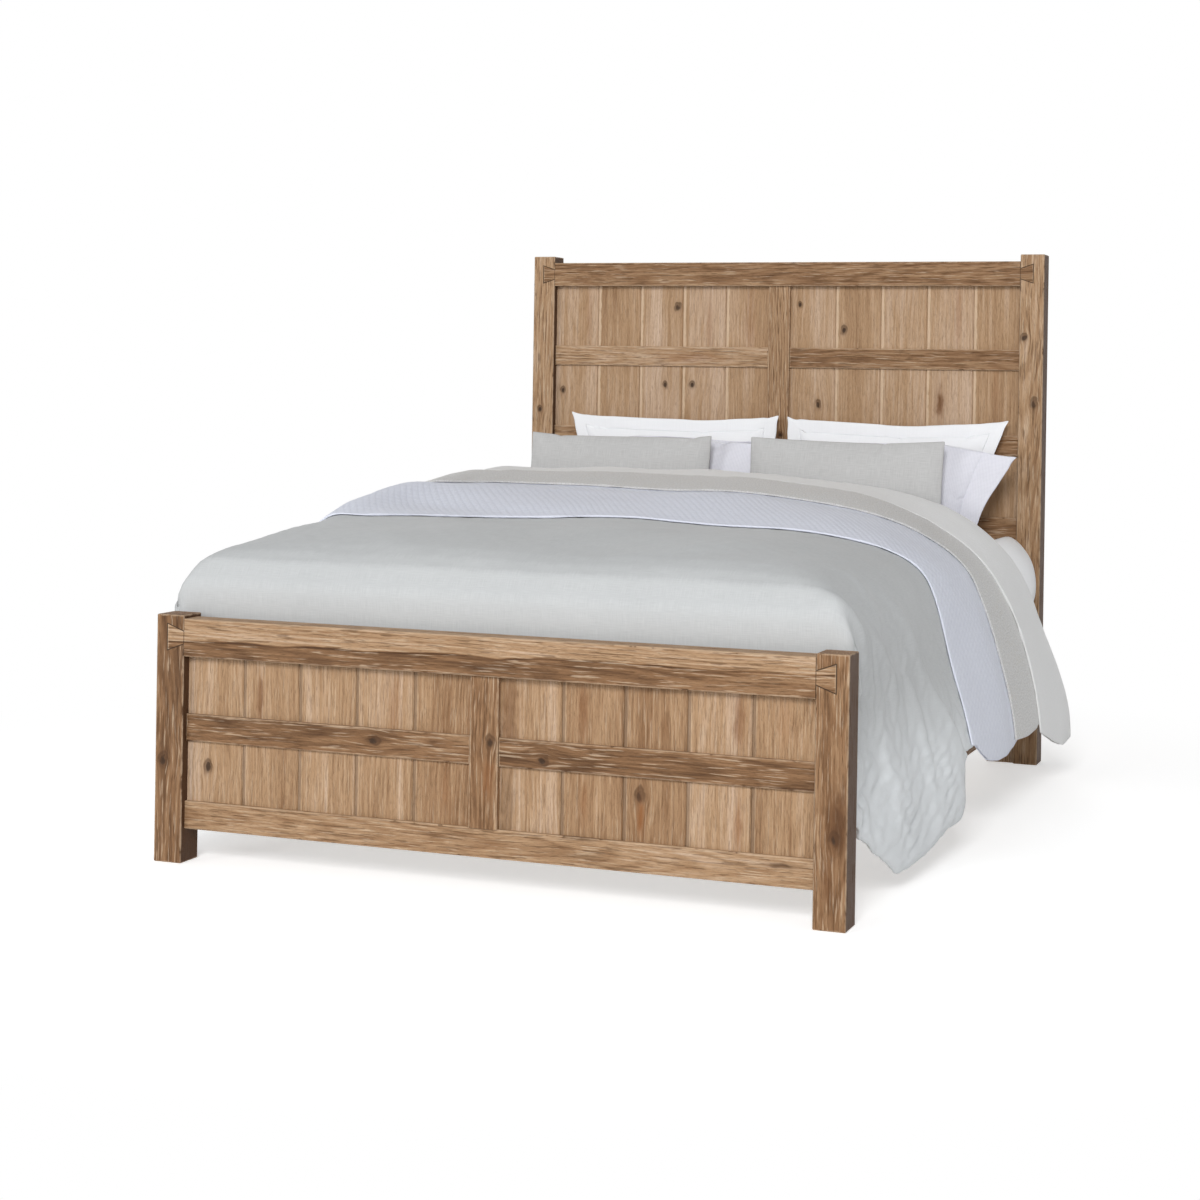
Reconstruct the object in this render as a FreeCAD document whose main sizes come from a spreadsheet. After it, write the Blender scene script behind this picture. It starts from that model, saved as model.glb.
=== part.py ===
import FreeCAD, Part
import Sketcher
import math
import os

# Driving sizes in millimetres. X runs across the bed, Y from foot to head, Z up from the floor.
SIZES = {
    # A queen mattress sets the size of the frame round it.
    "mattress_width": 1524,
    "mattress_length": 2032,
    "mattress_height": 225,
    "mattress_corner": 60,
    "mattress_edge": 50,
    "mattress_side_gap": 14,
    "mattress_end_gap": 30,
    "box_spring_height": 215,
    "box_spring_corner": 45,
    # Timber shared by headboard and footboard
    "post_side": 74,
    "edge_ease": 2,
    "joint_fit": 0.2,
    "top_rail_depth": 62,
    "tail_depth": 22,
    "rail_setback": 15,
    "bottom_rail_depth": 40,
    "tenon_length": 40,
    "tenon_height": 46,
    "tenon_depth": 20,
    "stile_width": 70,
    "stile_setback": 11,
    "stile_depth": 46,
    "batten_height": 64,
    "board_setback": 25,
    "board_depth": 18,
    "board_entry": 10,
    "board_bevel": 3,
    "board_gap": 0.4,
    "tongue_reach": 8,
    "tongue_depth": 6,
    # Headboard
    "head_height": 1562,
    "head_horn": 21,
    "head_top_height": 76,
    "head_tail_length": 40,
    "head_tail_neck": 32,
    "head_tail_end": 58,
    "head_clear_height": 686,
    "head_bottom_height": 66,
    "head_lower_batten": 941,
    "head_upper_batten": 1205,
    "inner_leg_width": 85,
    # Footboard
    "foot_height": 586,
    "foot_horn": 8,
    "foot_top_height": 89,
    "foot_tail_length": 45,
    "foot_tail_neck": 30,
    "foot_tail_end": 63,
    "foot_clear_height": 80,
    "foot_bottom_height": 66,
    "foot_batten": 288,
    # Side rails and what they carry
    "side_rail_clear": 148,
    "side_rail_height": 190,
    "side_rail_depth": 27,
    "cleat_side": 32,
    "cleat_rise": 18,
    "cleat_end_gap": 40,
    "slat_height": 22,
    "slat_width": 90,
    "slat_spacing": 700,
    "slat_end_gap": 2,
    "leg_side": 44,
    "leg_clear": 30,
    # Levelling feet
    "glide_diameter": 40,
    "glide_height": 8,
    "nut_diameter": 18,
    "nut_height": 6,
    "stem_diameter": 10,
    "stem_length": 60,
    "stem_fit": 0.05,
    "stem_end_room": 20,
    # Hooks, pins and screws
    "hook_depth": 3,
    "hook_height": 110,
    "hook_entry": 50,
    "hook_nose": 3.8,
    "hook_drop": 12,
    "hook_room": 5,
    "pin_diameter": 6,
    "pin_inset": 9,
    "pin_spacing": 60,
    "pin_length": 40,
    "screw_diameter": 5,
    "screw_head": 10,
    "screw_length": 45,
    "bore_fit": 0.1,
    "bore_end_room": 0.5,
    # Bedding: heights above the mattress, reaches from its head end and flares beyond the side rails
    "cloth_gap": 0.5,
    "sheet_depth": 4,
    "sheet_crown": 3,
    "sheet_drop": 250,
    "sheet_flare": 58,
    "duvet_loft": 124,
    "duvet_head_loft": 190,
    "duvet_foot_loft": 100,
    "duvet_foot_round": 190,
    "duvet_tuck": 110,
    "duvet_tuck_reach": 24,
    "duvet_shoulder_in": 160,
    "duvet_shoulder_up": 90,
    "duvet_side_out": 38,
    "duvet_side_down": 77,
    "duvet_flare": 119,
    "duvet_lining": 32,
    "duvet_hem": 72,
    "duvet_foot_hem": 320,
    "duvet_back_hem": 250,
    "duvet_corner_reach": 230,
    "duvet_back_reach": 340,
    "coverlet_depth": 12,
    "coverlet_reach": 1146,
    "coverlet_hem": 190,
    "blanket_depth": 24,
    "blanket_reach": 666,
    "blanket_crease": 10,
    "blanket_crease_reach": 416,
    "blanket_crease_half": 14,
    "blanket_flare": 55,
    "blanket_hem": 165,
    "bedding_end_reach": 246,
    "bedding_end_slope": 0.12,
    "fold_height": 14,
    "fold_pitch": 440,
    # Pillows: sizes, and how far each stands from the middle of the bed
    "pillow_lean": 8,
    "pillow_rim": 8,
    "pillow_draw": 12,
    "pillow_gap": 1,
    "back_pillow_width": 725,
    "back_pillow_height": 390,
    "back_pillow_depth": 92,
    "back_pillow_left": 345,
    "back_pillow_right": 395,
    "middle_pillow_width": 720,
    "middle_pillow_height": 330,
    "middle_pillow_depth": 80,
    "middle_pillow_left": 325,
    "middle_pillow_right": 443,
    "front_pillow_width": 620,
    "front_pillow_height": 325,
    "front_pillow_depth": 80,
    "front_pillow_left": 454,
    "front_pillow_right": 287,
}

BOARDS_EACH_SIDE = 5
SLAT_PLACES = (-1, 0, 1)
CLEAT_SCREWS = 5
STATIONS_PER_FOLD = 4
PILLOW_ROWS = ("back", "middle", "front")
PILLOW_STATIONS = 3

# How near a direction or a place has to be to count as the same
IN_LINE = 0.999
SAME_PLACE = 0.001
CUBIC_MM_IN_LITRE = 1e6


class Size:
    """A length with the sheet formula that gives it."""

    def __init__(self, formula, value):
        self.formula = formula
        self.value = value

    def __float__(self):
        return float(self.value)

    def __add__(self, other):
        other = as_size(other)
        return Size(f"({self.formula} + {other.formula})", self.value + other.value)

    def __sub__(self, other):
        other = as_size(other)
        return Size(f"({self.formula} - {other.formula})", self.value - other.value)

    def __mul__(self, factor):
        factor = as_size(factor)
        return Size(f"({self.formula} * {factor.formula})", self.value * factor.value)

    def __truediv__(self, divisor):
        divisor = as_size(divisor)
        return Size(f"({self.formula} / {divisor.formula})", self.value / divisor.value)

    def __neg__(self):
        return Size(f"(0 - {self.formula})", -self.value)

    def __radd__(self, other):
        return as_size(other) + self

    def __rsub__(self, other):
        return as_size(other) - self

    def __rmul__(self, other):
        return as_size(other) * self


def as_size(number):
    if isinstance(number, Size):
        return number
    return Size(f"({number})", number)


class Sizes:
    """The sheet's cells by name, each as a Size."""

    def __init__(self, sheet):
        self.sheet = sheet

    def __getattr__(self, alias):
        return Size(f"{self.sheet.Name}.{alias}", float(self.sheet.get(alias)))


def make_sheet(doc):
    sheet = doc.addObject("Spreadsheet::Sheet", "Sizes")
    for row, (alias, value) in enumerate(SIZES.items(), start=1):
        sheet.set(f"A{row}", alias)
        sheet.set(f"B{row}", str(value))
        sheet.setAlias(f"B{row}", alias)
    doc.recompute()
    return sheet


doc = FreeCAD.newDocument("BoardAndBattenBed")
s = Sizes(make_sheet(doc))
pieces = {}

# Planes and heights that several pieces share
INNER = s.mattress_width / 2 + s.mattress_side_gap
RAIL_END = s.mattress_length / 2 + s.mattress_end_gap
FOOT_FRONT = -RAIL_END - s.post_side
HEAD_FRONT = RAIL_END
CLEAT_TOP = s.side_rail_clear + s.cleat_rise + s.cleat_side
CLEAT_MIDDLE = CLEAT_TOP - s.cleat_side / 2
SLAT_TOP = CLEAT_TOP + s.slat_height
BOX_SPRING_TOP = SLAT_TOP + s.box_spring_height
MATTRESS_TOP = BOX_SPRING_TOP + s.mattress_height
RAIL_MIDDLE = s.side_rail_clear + s.side_rail_height / 2
HOOK_PLACE = s.side_rail_depth / 2
SCREW_HEAD_HEIGHT = (s.screw_head - s.screw_diameter) / 2
RIVET_INSET = s.hook_entry / 2
PIN_LEVELS = (("high", s.pin_spacing / 2), ("low", -s.pin_spacing / 2))
ACROSS = FreeCAD.Vector(1, 0, 0)
ALONG = FreeCAD.Vector(0, 1, 0)
UP = FreeCAD.Vector(0, 0, 1)
DOWN = FreeCAD.Vector(0, 0, -1)


def bind(obj, name, size):
    obj.setExpression(name, as_size(size).formula)


def place(obj, x=0, y=0, z=0):
    for axis, size in zip("xyz", (x, y, z)):
        bind(obj, f"Placement.Base.{axis}", size)


def new_body(name, x=0, y=0, z=0):
    body = doc.addObject("PartDesign::Body", name)
    place(body, x, y, z)
    return body


def keep(label, obj):
    obj.Label = label
    pieces[label] = obj
    return obj


def box(body, kind, name, x, y, z):
    """Adds or cuts a block; each axis is given as (start, end)."""
    feature = body.newObject(f"PartDesign::{kind}Box", name)
    for axis, side, (start, end) in zip("xyz", ("Length", "Width", "Height"), (x, y, z)):
        bind(feature, f"Placement.Base.{axis}", start)
        bind(feature, side, as_size(end) - start)
    doc.recompute()
    return feature


def add_box(body, name, x, y, z):
    return box(body, "Additive", name, x, y, z)


def cut_box(body, name, x, y, z):
    return box(body, "Subtractive", name, x, y, z)


def origin_plane(body, role):
    return next(plane for plane in body.Origin.OriginFeatures if plane.Role == role)


def outline(body, name, plane, corners):
    """A closed sketch with a corner at each pair of sizes."""
    sketch = body.newObject("Sketcher::SketchObject", name)
    sketch.AttachmentSupport = (origin_plane(body, plane), [""])
    sketch.MapMode = "FlatFace"
    points = [FreeCAD.Vector(float(u), float(v), 0) for u, v in corners]
    count = len(points)
    for index in range(count):
        sketch.addGeometry(Part.LineSegment(points[index], points[(index + 1) % count]))
    for index in range(count):
        sketch.addConstraint(Sketcher.Constraint("Coincident", index, 2, (index + 1) % count, 1))
    for index, pair in enumerate(corners):
        for kind, size in zip(("DistanceX", "DistanceY"), pair):
            datum = sketch.addConstraint(Sketcher.Constraint(kind, -1, 1, index, 1, float(size)))
            bind(sketch, f"Constraints[{datum}]", size)
    return sketch


def pad(body, name, sketch, length, reverse=False):
    feature = body.newObject("PartDesign::Pad", name)
    feature.Profile = sketch
    bind(feature, "Length", length)
    feature.Reversed = reverse
    doc.recompute()
    return feature


def pocket(body, name, sketch, length):
    feature = body.newObject("PartDesign::Pocket", name)
    feature.Profile = sketch
    bind(feature, "Length", length)
    before = body.Shape.Volume
    doc.recompute()
    if body.Shape.Volume >= before:
        raise RuntimeError(f"{name} cuts nothing")
    return feature


def edge_names(shape, wanted):
    return [f"Edge{number}" for number, edge in enumerate(shape.Edges, start=1) if wanted(edge)]


def runs_along(axis):
    def wanted(edge):
        start, end = (vertex.Point for vertex in edge.Vertexes)
        return abs(end[axis] - start[axis]) > IN_LINE * edge.Length
    return wanted


def every_edge(edge):
    return True


def ease(body, wanted=every_edge):
    """Breaks the sharp edges of the body's last feature."""
    base = body.Tip
    feature = body.newObject("PartDesign::Chamfer", f"{body.Name}_ease")
    feature.Base = (base, edge_names(base.Shape, wanted))
    bind(feature, "Size", s.edge_ease)
    doc.recompute()
    return feature


def round_edges(body, name, radius, wanted):
    base = body.Tip
    feature = body.newObject("PartDesign::Fillet", name)
    feature.Base = (base, edge_names(base.Shape, wanted))
    bind(feature, "Radius", radius)
    doc.recompute()
    return feature


def cut_round(body, kind, name, start, direction, radii, length, fit):
    """Cuts a round hole from a start point in the body's own frame."""
    feature = body.newObject(f"PartDesign::Subtractive{kind}", name)
    for side, radius in radii.items():
        bind(feature, side, radius + fit)
    bind(feature, "Height", length)
    feature.Placement.Rotation = FreeCAD.Rotation(UP, direction)
    place(feature, *start)
    before = body.Shape.Volume
    doc.recompute()
    if body.Shape.Volume >= before:
        raise RuntimeError(f"{name} cuts nothing")


def drill(body, name, start, direction, diameter, length, fit=s.bore_fit):
    cut_round(body, "Cylinder", name, start, direction, {"Radius": diameter / 2}, length, fit)


def countersink(body, name, start, direction):
    radii = {"Radius1": s.screw_head / 2, "Radius2": s.screw_diameter / 2}
    cut_round(body, "Cone", name, start, direction, radii, SCREW_HEAD_HEIGHT, s.bore_fit)


def mirrored(name, source, normal):
    copy = doc.addObject("Part::Mirroring", name)
    copy.Source = source
    copy.Normal = normal
    copy.Base = FreeCAD.Vector(0, 0, 0)
    return copy


def group(label, members):
    compound = doc.addObject("Part::Compound", label)
    compound.Links = members
    return keep(label, compound)


def pair(label, right):
    """Keeps a right-hand piece and its mirror image as two pieces."""
    keep(f"{label}_right", right)
    keep(f"{label}_left", mirrored(f"{label}_left", right, ACROSS))


class End:
    """The sizes of one end of the bed: headboard or footboard."""

    def __init__(self, name, front, batten_places, hooks_face_front):
        self.name = name
        self.front = front
        self.height = getattr(s, f"{name}_height")
        self.top_height = getattr(s, f"{name}_top_height")
        self.tail_length = getattr(s, f"{name}_tail_length")
        self.tail_neck = getattr(s, f"{name}_tail_neck")
        self.tail_end = getattr(s, f"{name}_tail_end")
        self.clear_height = getattr(s, f"{name}_clear_height")
        self.bottom_height = getattr(s, f"{name}_bottom_height")
        self.rail_top = self.height - getattr(s, f"{name}_horn")
        self.panel_top = self.rail_top - self.top_height
        self.panel_bottom = self.clear_height + self.bottom_height
        self.tail_middle = self.rail_top - self.top_height / 2
        self.tenon_bottom = self.clear_height + (self.bottom_height - s.tenon_height) / 2
        self.batten_places = batten_places
        self.hooks_face_front = hooks_face_front


def tail_corners(end, root, middle, fit):
    """Corners of a dovetail that widens away from the shoulder at root."""
    neck = end.tail_neck / 2 + fit
    wide = end.tail_end / 2 + fit
    tip = root + end.tail_length + fit
    return [(root, middle - neck), (tip, middle - wide), (tip, middle + wide), (root, middle + neck)]


def groove_depths():
    """Front and back of the groove that holds the boards."""
    return s.board_setback - s.joint_fit, s.board_setback + s.board_depth + s.joint_fit


def post(end):
    body = new_body(f"{end.name}_post", INNER, end.front)
    add_box(body, f"{end.name}_post_block", (0, s.post_side), (0, s.post_side), (0, end.height))
    ease(body)
    socket = tail_corners(end, as_size(0), end.tail_middle, s.joint_fit)
    sketch = outline(body, f"{end.name}_socket", "XZ_Plane", socket)
    pocket(body, f"{end.name}_socket_cut", sketch, s.tail_depth + s.joint_fit)
    cut_box(body, f"{end.name}_post_groove", (0, s.board_entry + s.joint_fit), groove_depths(),
            (end.panel_bottom - s.board_entry, end.panel_top + s.board_entry))
    tenon_front = s.rail_setback + (s.bottom_rail_depth - s.tenon_depth) / 2
    cut_box(body, f"{end.name}_mortise", (0, s.tenon_length + s.joint_fit),
            (tenon_front - s.joint_fit, tenon_front + s.tenon_depth + s.joint_fit),
            (end.tenon_bottom - s.joint_fit, end.tenon_bottom + s.tenon_height + s.joint_fit))
    slot_depth = s.pin_inset + s.pin_diameter / 2 + s.hook_nose + s.hook_room
    slot_y = (0, slot_depth) if end.hooks_face_front else (s.post_side - slot_depth, s.post_side)
    half_slot = s.hook_depth / 2 + s.hook_room / 2
    half_height = s.hook_height / 2 + s.hook_room
    cut_box(body, f"{end.name}_hook_slot", (HOOK_PLACE - half_slot, HOOK_PLACE + half_slot), slot_y,
            (RAIL_MIDDLE - half_height, RAIL_MIDDLE + half_height))
    pin_y = s.pin_inset if end.hooks_face_front else s.post_side - s.pin_inset
    for level, offset in PIN_LEVELS:
        drill(body, f"{end.name}_pin_hole_{level}", (0, pin_y, RAIL_MIDDLE + offset), ACROSS, s.pin_diameter,
              s.pin_length + s.bore_end_room)
    pair(f"{end.name}_post", body)


def top_rail(end):
    body = new_body(f"{end.name}_top_rail", 0, end.front, end.panel_top)
    add_box(body, f"{end.name}_top_rail_bar", (-INNER, INNER), (0, s.top_rail_depth), (0, end.top_height))
    ease(body, runs_along(0))
    right = tail_corners(end, INNER, end.top_height / 2, as_size(0))
    left = [(-x, z) for x, z in right]
    for side, corners in (("right", right), ("left", left)):
        sketch = outline(body, f"{end.name}_tail_{side}", "XZ_Plane", corners)
        pad(body, f"{end.name}_tail_{side}_pad", sketch, s.tail_depth, reverse=True)
    cut_box(body, f"{end.name}_top_groove", (-INNER, INNER), groove_depths(), (0, s.board_entry + s.joint_fit))
    keep(f"{end.name}_top_rail", body)


def bottom_rail(end):
    body = new_body(f"{end.name}_bottom_rail", 0, end.front, end.clear_height)
    front = s.rail_setback
    back = front + s.bottom_rail_depth
    add_box(body, f"{end.name}_bottom_rail_bar", (-INNER, INNER), (front, back), (0, end.bottom_height))
    ease(body, runs_along(0))
    tenon_y = front + (s.bottom_rail_depth - s.tenon_depth) / 2
    tenon_z = (end.bottom_height - s.tenon_height) / 2
    reach = INNER + s.tenon_length
    add_box(body, f"{end.name}_tenons", (-reach, reach), (tenon_y, tenon_y + s.tenon_depth),
            (tenon_z, tenon_z + s.tenon_height))
    cut_box(body, f"{end.name}_bottom_groove", (-INNER, INNER), groove_depths(),
            (end.bottom_height - s.board_entry - s.joint_fit, end.bottom_height))
    keep(f"{end.name}_bottom_rail", body)


def stile(end):
    body = new_body(f"{end.name}_stile", 0, end.front)
    half = s.stile_width / 2
    front = s.stile_setback
    add_box(body, f"{end.name}_stile_bar", (-half, half), (front, front + s.stile_depth),
            (end.panel_bottom, end.panel_top))
    ease(body, runs_along(2))
    add_box(body, f"{end.name}_stile_tongues", (-half, half),
            (s.board_setback, s.board_setback + s.board_depth),
            (end.panel_bottom - s.board_entry, end.panel_top + s.board_entry))
    entry = s.board_entry + s.joint_fit
    height = (end.panel_bottom - s.board_entry, end.panel_top + s.board_entry)
    cut_box(body, f"{end.name}_stile_groove_right", (half - entry, half), groove_depths(), height)
    cut_box(body, f"{end.name}_stile_groove_left", (-half, entry - half), groove_depths(), height)
    keep(f"{end.name}_stile", body)


def board_corners(width, tongue, groove):
    """Plan of a board with bevelled front corners, a tongue on one edge and a groove in the other."""
    middle = s.board_depth / 2
    tongue_front = middle - s.tongue_depth / 2
    tongue_back = middle + s.tongue_depth / 2
    zero = as_size(0)
    corners = [(s.board_bevel, zero), (width - s.board_bevel, zero), (width, s.board_bevel)]
    if tongue:
        reach = width + s.tongue_reach
        corners += [(width, tongue_front), (reach, tongue_front), (reach, tongue_back), (width, tongue_back)]
    corners += [(width, s.board_depth), (zero, s.board_depth)]
    if groove:
        inner = s.tongue_reach + s.joint_fit * 2
        front = tongue_front - s.joint_fit
        back = tongue_back + s.joint_fit
        corners += [(zero, back), (inner, back), (inner, front), (zero, front)]
    corners += [(zero, s.board_bevel)]
    return corners


def boards(end):
    """Five boards each side of the stile, tongued together and let into the frame."""
    pitch = (INNER - s.stile_width / 2) / BOARDS_EACH_SIDE
    length = end.panel_top - end.panel_bottom + s.board_entry * 2
    number = 0
    for start in (-INNER, s.stile_width / 2):
        for index in range(BOARDS_EACH_SIDE):
            number += 1
            first = index == 0
            last = index == BOARDS_EACH_SIDE - 1
            entry_left = s.board_entry if first else as_size(0)
            entry_right = s.board_entry if last else as_size(0)
            width = pitch + entry_left + entry_right - s.board_gap
            left = start + pitch * index - entry_left + s.board_gap / 2
            name = f"{end.name}_board_{number:02d}"
            body = new_body(name, left, end.front + s.board_setback, end.panel_bottom - s.board_entry)
            sketch = outline(body, f"{name}_plan", "XY_Plane", board_corners(width, not last, not first))
            pad(body, f"{name}_pad", sketch, length)
            keep(name, body)


def battens(end):
    for label, bottom in end.batten_places:
        name = f"{end.name}_{label}"
        body = new_body(name, 0, end.front)
        add_box(body, f"{name}_bar", (s.stile_width / 2 + s.joint_fit, INNER - s.joint_fit),
                (s.rail_setback, s.board_setback), (bottom, bottom + s.batten_height))
        ease(body, faces_front(s.rail_setback))
        pair(name, body)


def faces_front(front):
    """Picks the edges that lie on the front face of a piece."""
    def wanted(edge):
        return all(abs(vertex.Point.y - float(front)) < SAME_PLACE for vertex in edge.Vertexes)
    return wanted


def bed_end(end):
    post(end)
    top_rail(end)
    bottom_rail(end)
    stile(end)
    battens(end)
    boards(end)


def inner_legs(end):
    """A leg board beside each head post, from the floor to the bottom rail."""
    body = new_body("inner_leg_right", 0, end.front)
    add_box(body, "inner_leg_board", (INNER - s.inner_leg_width, INNER),
            (s.rail_setback, s.rail_setback + s.bottom_rail_depth), (0, end.clear_height))
    ease(body, runs_along(2))
    left = mirrored("inner_leg_left", body, ACROSS)
    group("head_inner_legs", [body, left])


def side_rails():
    body = new_body("side_rail", INNER, 0, s.side_rail_clear)
    add_box(body, "side_rail_bar", (0, s.side_rail_depth), (-RAIL_END, RAIL_END), (0, s.side_rail_height))
    ease(body, runs_along(1))
    half = s.hook_depth / 2 + s.joint_fit
    entry = s.hook_entry + s.joint_fit
    middle = s.side_rail_height / 2
    height = (middle - s.hook_height / 2 - s.joint_fit, middle + s.hook_height / 2 + s.joint_fit)
    across = (HOOK_PLACE - half, HOOK_PLACE + half)
    cut_box(body, "hook_slot_head", across, (RAIL_END - entry, RAIL_END), height)
    cut_box(body, "hook_slot_foot", across, (-RAIL_END, entry - RAIL_END), height)
    for level, offset in PIN_LEVELS:
        for place_name, y in (("head", RAIL_END - RIVET_INSET), ("foot", RIVET_INSET - RAIL_END)):
            drill(body, f"rivet_hole_{place_name}_{level}", (0, y, middle + offset), ACROSS, s.pin_diameter,
                  s.side_rail_depth)
    for index, along in enumerate(cleat_screw_places(), start=1):
        drill(body, f"side_rail_screw_hole_{index}", (0, along, CLEAT_MIDDLE - s.side_rail_clear), ACROSS,
              s.screw_diameter, s.screw_length - s.cleat_side + s.bore_end_room)
    pair("side_rail", body)


def hook_corners():
    """Side view of a hook plate: v up from the rail's middle, u out of the rail's end."""
    half = s.hook_height / 2
    slot = s.pin_diameter / 2 + s.joint_fit
    near = s.pin_inset - slot
    far = s.pin_inset + slot
    tip = far + s.hook_nose
    corners = [(-s.hook_entry, -half), (-s.hook_entry, half), (as_size(0), half)]
    for pin in (s.pin_spacing / 2, -s.pin_spacing / 2):
        roof = pin + slot
        low = pin - s.hook_drop
        back = roof + s.hook_nose * 2
        corners += [(as_size(0), back), (tip, back), (tip, low), (far, low), (far, roof), (near, roof),
                    (near, low), (as_size(0), low)]
    corners += [(as_size(0), -half)]
    return corners


def hooks():
    """A steel plate in each end of each side rail, with two hooks that hang on pins in the post."""
    body = new_body("hook_head_right", INNER + HOOK_PLACE - s.hook_depth / 2, RAIL_END, RAIL_MIDDLE)
    sketch = outline(body, "hook_side", "YZ_Plane", hook_corners())
    pad(body, "hook_plate", sketch, s.hook_depth)
    for level, offset in PIN_LEVELS:
        drill(body, f"hook_rivet_hole_{level}", (0, -RIVET_INSET, offset), ACROSS, s.pin_diameter, s.hook_depth)
    foot = mirrored("hook_foot_right", body, ALONG)
    left = [mirrored(f"{piece.Name}_left", piece, ACROSS) for piece in (body, foot)]
    group("rail_hooks", [body, foot] + left)


def rod(name, x, y, z, diameter, length):
    """A round bar along X."""
    cylinder = doc.addObject("Part::Cylinder", name)
    bind(cylinder, "Radius", diameter / 2)
    bind(cylinder, "Height", length)
    cylinder.Placement.Rotation = FreeCAD.Rotation(UP, ACROSS)
    place(cylinder, x, y, z)
    return cylinder


def hook_pins():
    """Pins across the post slots, and the rivets that hold the hook plates in the rails."""
    right = []
    for level, offset in PIN_LEVELS:
        height = RAIL_MIDDLE + offset
        right.append(rod(f"head_pin_{level}", INNER, RAIL_END + s.pin_inset, height, s.pin_diameter,
                         s.pin_length))
        right.append(rod(f"head_rivet_{level}", INNER, RAIL_END - RIVET_INSET, height, s.pin_diameter,
                         s.side_rail_depth))
    right += [mirrored(f"{piece.Name}_foot", piece, ALONG) for piece in right]
    left = [mirrored(f"{piece.Name}_left", piece, ACROSS) for piece in right]
    group("hook_pins", right + left)


def cleat_screw_places():
    """Distances along the bed of the screws that hold a cleat to its side rail."""
    reach = RAIL_END - s.cleat_end_gap * 2
    return [reach * (2 * index / (CLEAT_SCREWS - 1) - 1) for index in range(CLEAT_SCREWS)]


def slat_screw_place(step):
    """Distance along the bed of the screws at a slat's ends, off the slat's middle line."""
    return s.slat_spacing * step + s.slat_width / 4


def cleats():
    body = new_body("cleat", INNER - s.cleat_side, 0, CLEAT_TOP - s.cleat_side)
    reach = RAIL_END - s.cleat_end_gap
    add_box(body, "cleat_bar", (0, s.cleat_side), (-reach, reach), (0, s.cleat_side))
    ease(body, runs_along(1))
    for index, along in enumerate(cleat_screw_places(), start=1):
        start = (0, along, s.cleat_side / 2)
        drill(body, f"cleat_screw_hole_{index}", start, ACROSS, s.screw_diameter, s.cleat_side)
        countersink(body, f"cleat_countersink_{index}", start, ACROSS)
    for step in SLAT_PLACES:
        start = (s.cleat_side / 2, slat_screw_place(step), s.cleat_side)
        drill(body, f"cleat_slat_hole_{step + 2}", start, DOWN, s.screw_diameter,
              s.screw_length - s.slat_height + s.bore_end_room)
    group("rail_cleats", [body, mirrored("cleat_left", body, ACROSS)])


def slats():
    members = []
    reach = INNER - s.slat_end_gap
    for step in SLAT_PLACES:
        body = new_body(f"slat_{step + 2}", 0, s.slat_spacing * step, CLEAT_TOP)
        add_box(body, f"slat_{step + 2}_bar", (-reach, reach), (-s.slat_width / 2, s.slat_width / 2),
                (0, s.slat_height))
        ease(body, runs_along(0))
        end_x = INNER - s.cleat_side / 2
        end_y = s.slat_width / 4
        for side, x, y in (("right", end_x, end_y), ("left", -end_x, end_y), ("middle", 0, 0)):
            start = (x, y, s.slat_height)
            drill(body, f"slat_{step + 2}_hole_{side}", start, DOWN, s.screw_diameter, s.slat_height)
            countersink(body, f"slat_{step + 2}_countersink_{side}", start, DOWN)
        members.append(body)
    group("slats", members)


def center_legs():
    """A leg under the middle of each slat, bored for the stem of its levelling foot."""
    members = []
    half = s.leg_side / 2
    for step in SLAT_PLACES:
        name = f"center_leg_{step + 2}"
        body = new_body(name, 0, s.slat_spacing * step)
        add_box(body, f"{name}_block", (-half, half), (-half, half), (s.leg_clear, CLEAT_TOP))
        ease(body, runs_along(2))
        drill(body, f"{name}_bore", (0, 0, s.leg_clear), UP, s.stem_diameter, s.stem_length + s.stem_end_room,
              s.stem_fit)
        drill(body, f"{name}_screw_hole", (0, 0, CLEAT_TOP), DOWN, s.screw_diameter,
              s.screw_length - s.slat_height + s.bore_end_room)
        members.append(body)
    group("center_legs", members)


def levellers():
    """Screw feet: a glide on the floor, a nut to turn it by and a stem up into the leg."""
    glide = s.glide_diameter / 2
    nut_top = s.glide_height + s.nut_height
    stem_top = s.leg_clear + s.stem_length
    stem = s.stem_diameter / 2
    rim = s.glide_height / 4
    zero = as_size(0)
    profile = [(zero, zero), (glide - rim, zero), (glide, rim), (glide, s.glide_height / 2),
               (s.nut_diameter / 2, s.glide_height), (s.nut_diameter / 2, nut_top), (stem, nut_top),
               (stem, stem_top), (zero, stem_top)]
    for step in SLAT_PLACES:
        name = f"leveller_{step + 2}"
        body = new_body(name, 0, s.slat_spacing * step)
        sketch = outline(body, f"{name}_profile", "XZ_Plane", profile)
        turn = body.newObject("PartDesign::Revolution", f"{name}_turn")
        turn.Profile = sketch
        turn.ReferenceAxis = (sketch, ["V_Axis"])
        turn.Angle = 360
        doc.recompute()
        keep(name, body)


def screw(name, x, y, z, direction):
    """A countersunk screw whose head lies flush at the given point."""
    shank = doc.addObject("Part::Cylinder", f"{name}_shank")
    bind(shank, "Radius", s.screw_diameter / 2)
    bind(shank, "Height", s.screw_length)
    head = doc.addObject("Part::Cone", f"{name}_head")
    bind(head, "Radius1", s.screw_head / 2)
    bind(head, "Radius2", s.screw_diameter / 2)
    bind(head, "Height", SCREW_HEAD_HEIGHT)
    for part in (shank, head):
        part.Placement.Rotation = FreeCAD.Rotation(UP, direction)
        place(part, x, y, z)
    whole = doc.addObject("Part::Fuse", name)
    whole.Base = shank
    whole.Tool = head
    return whole


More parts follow.
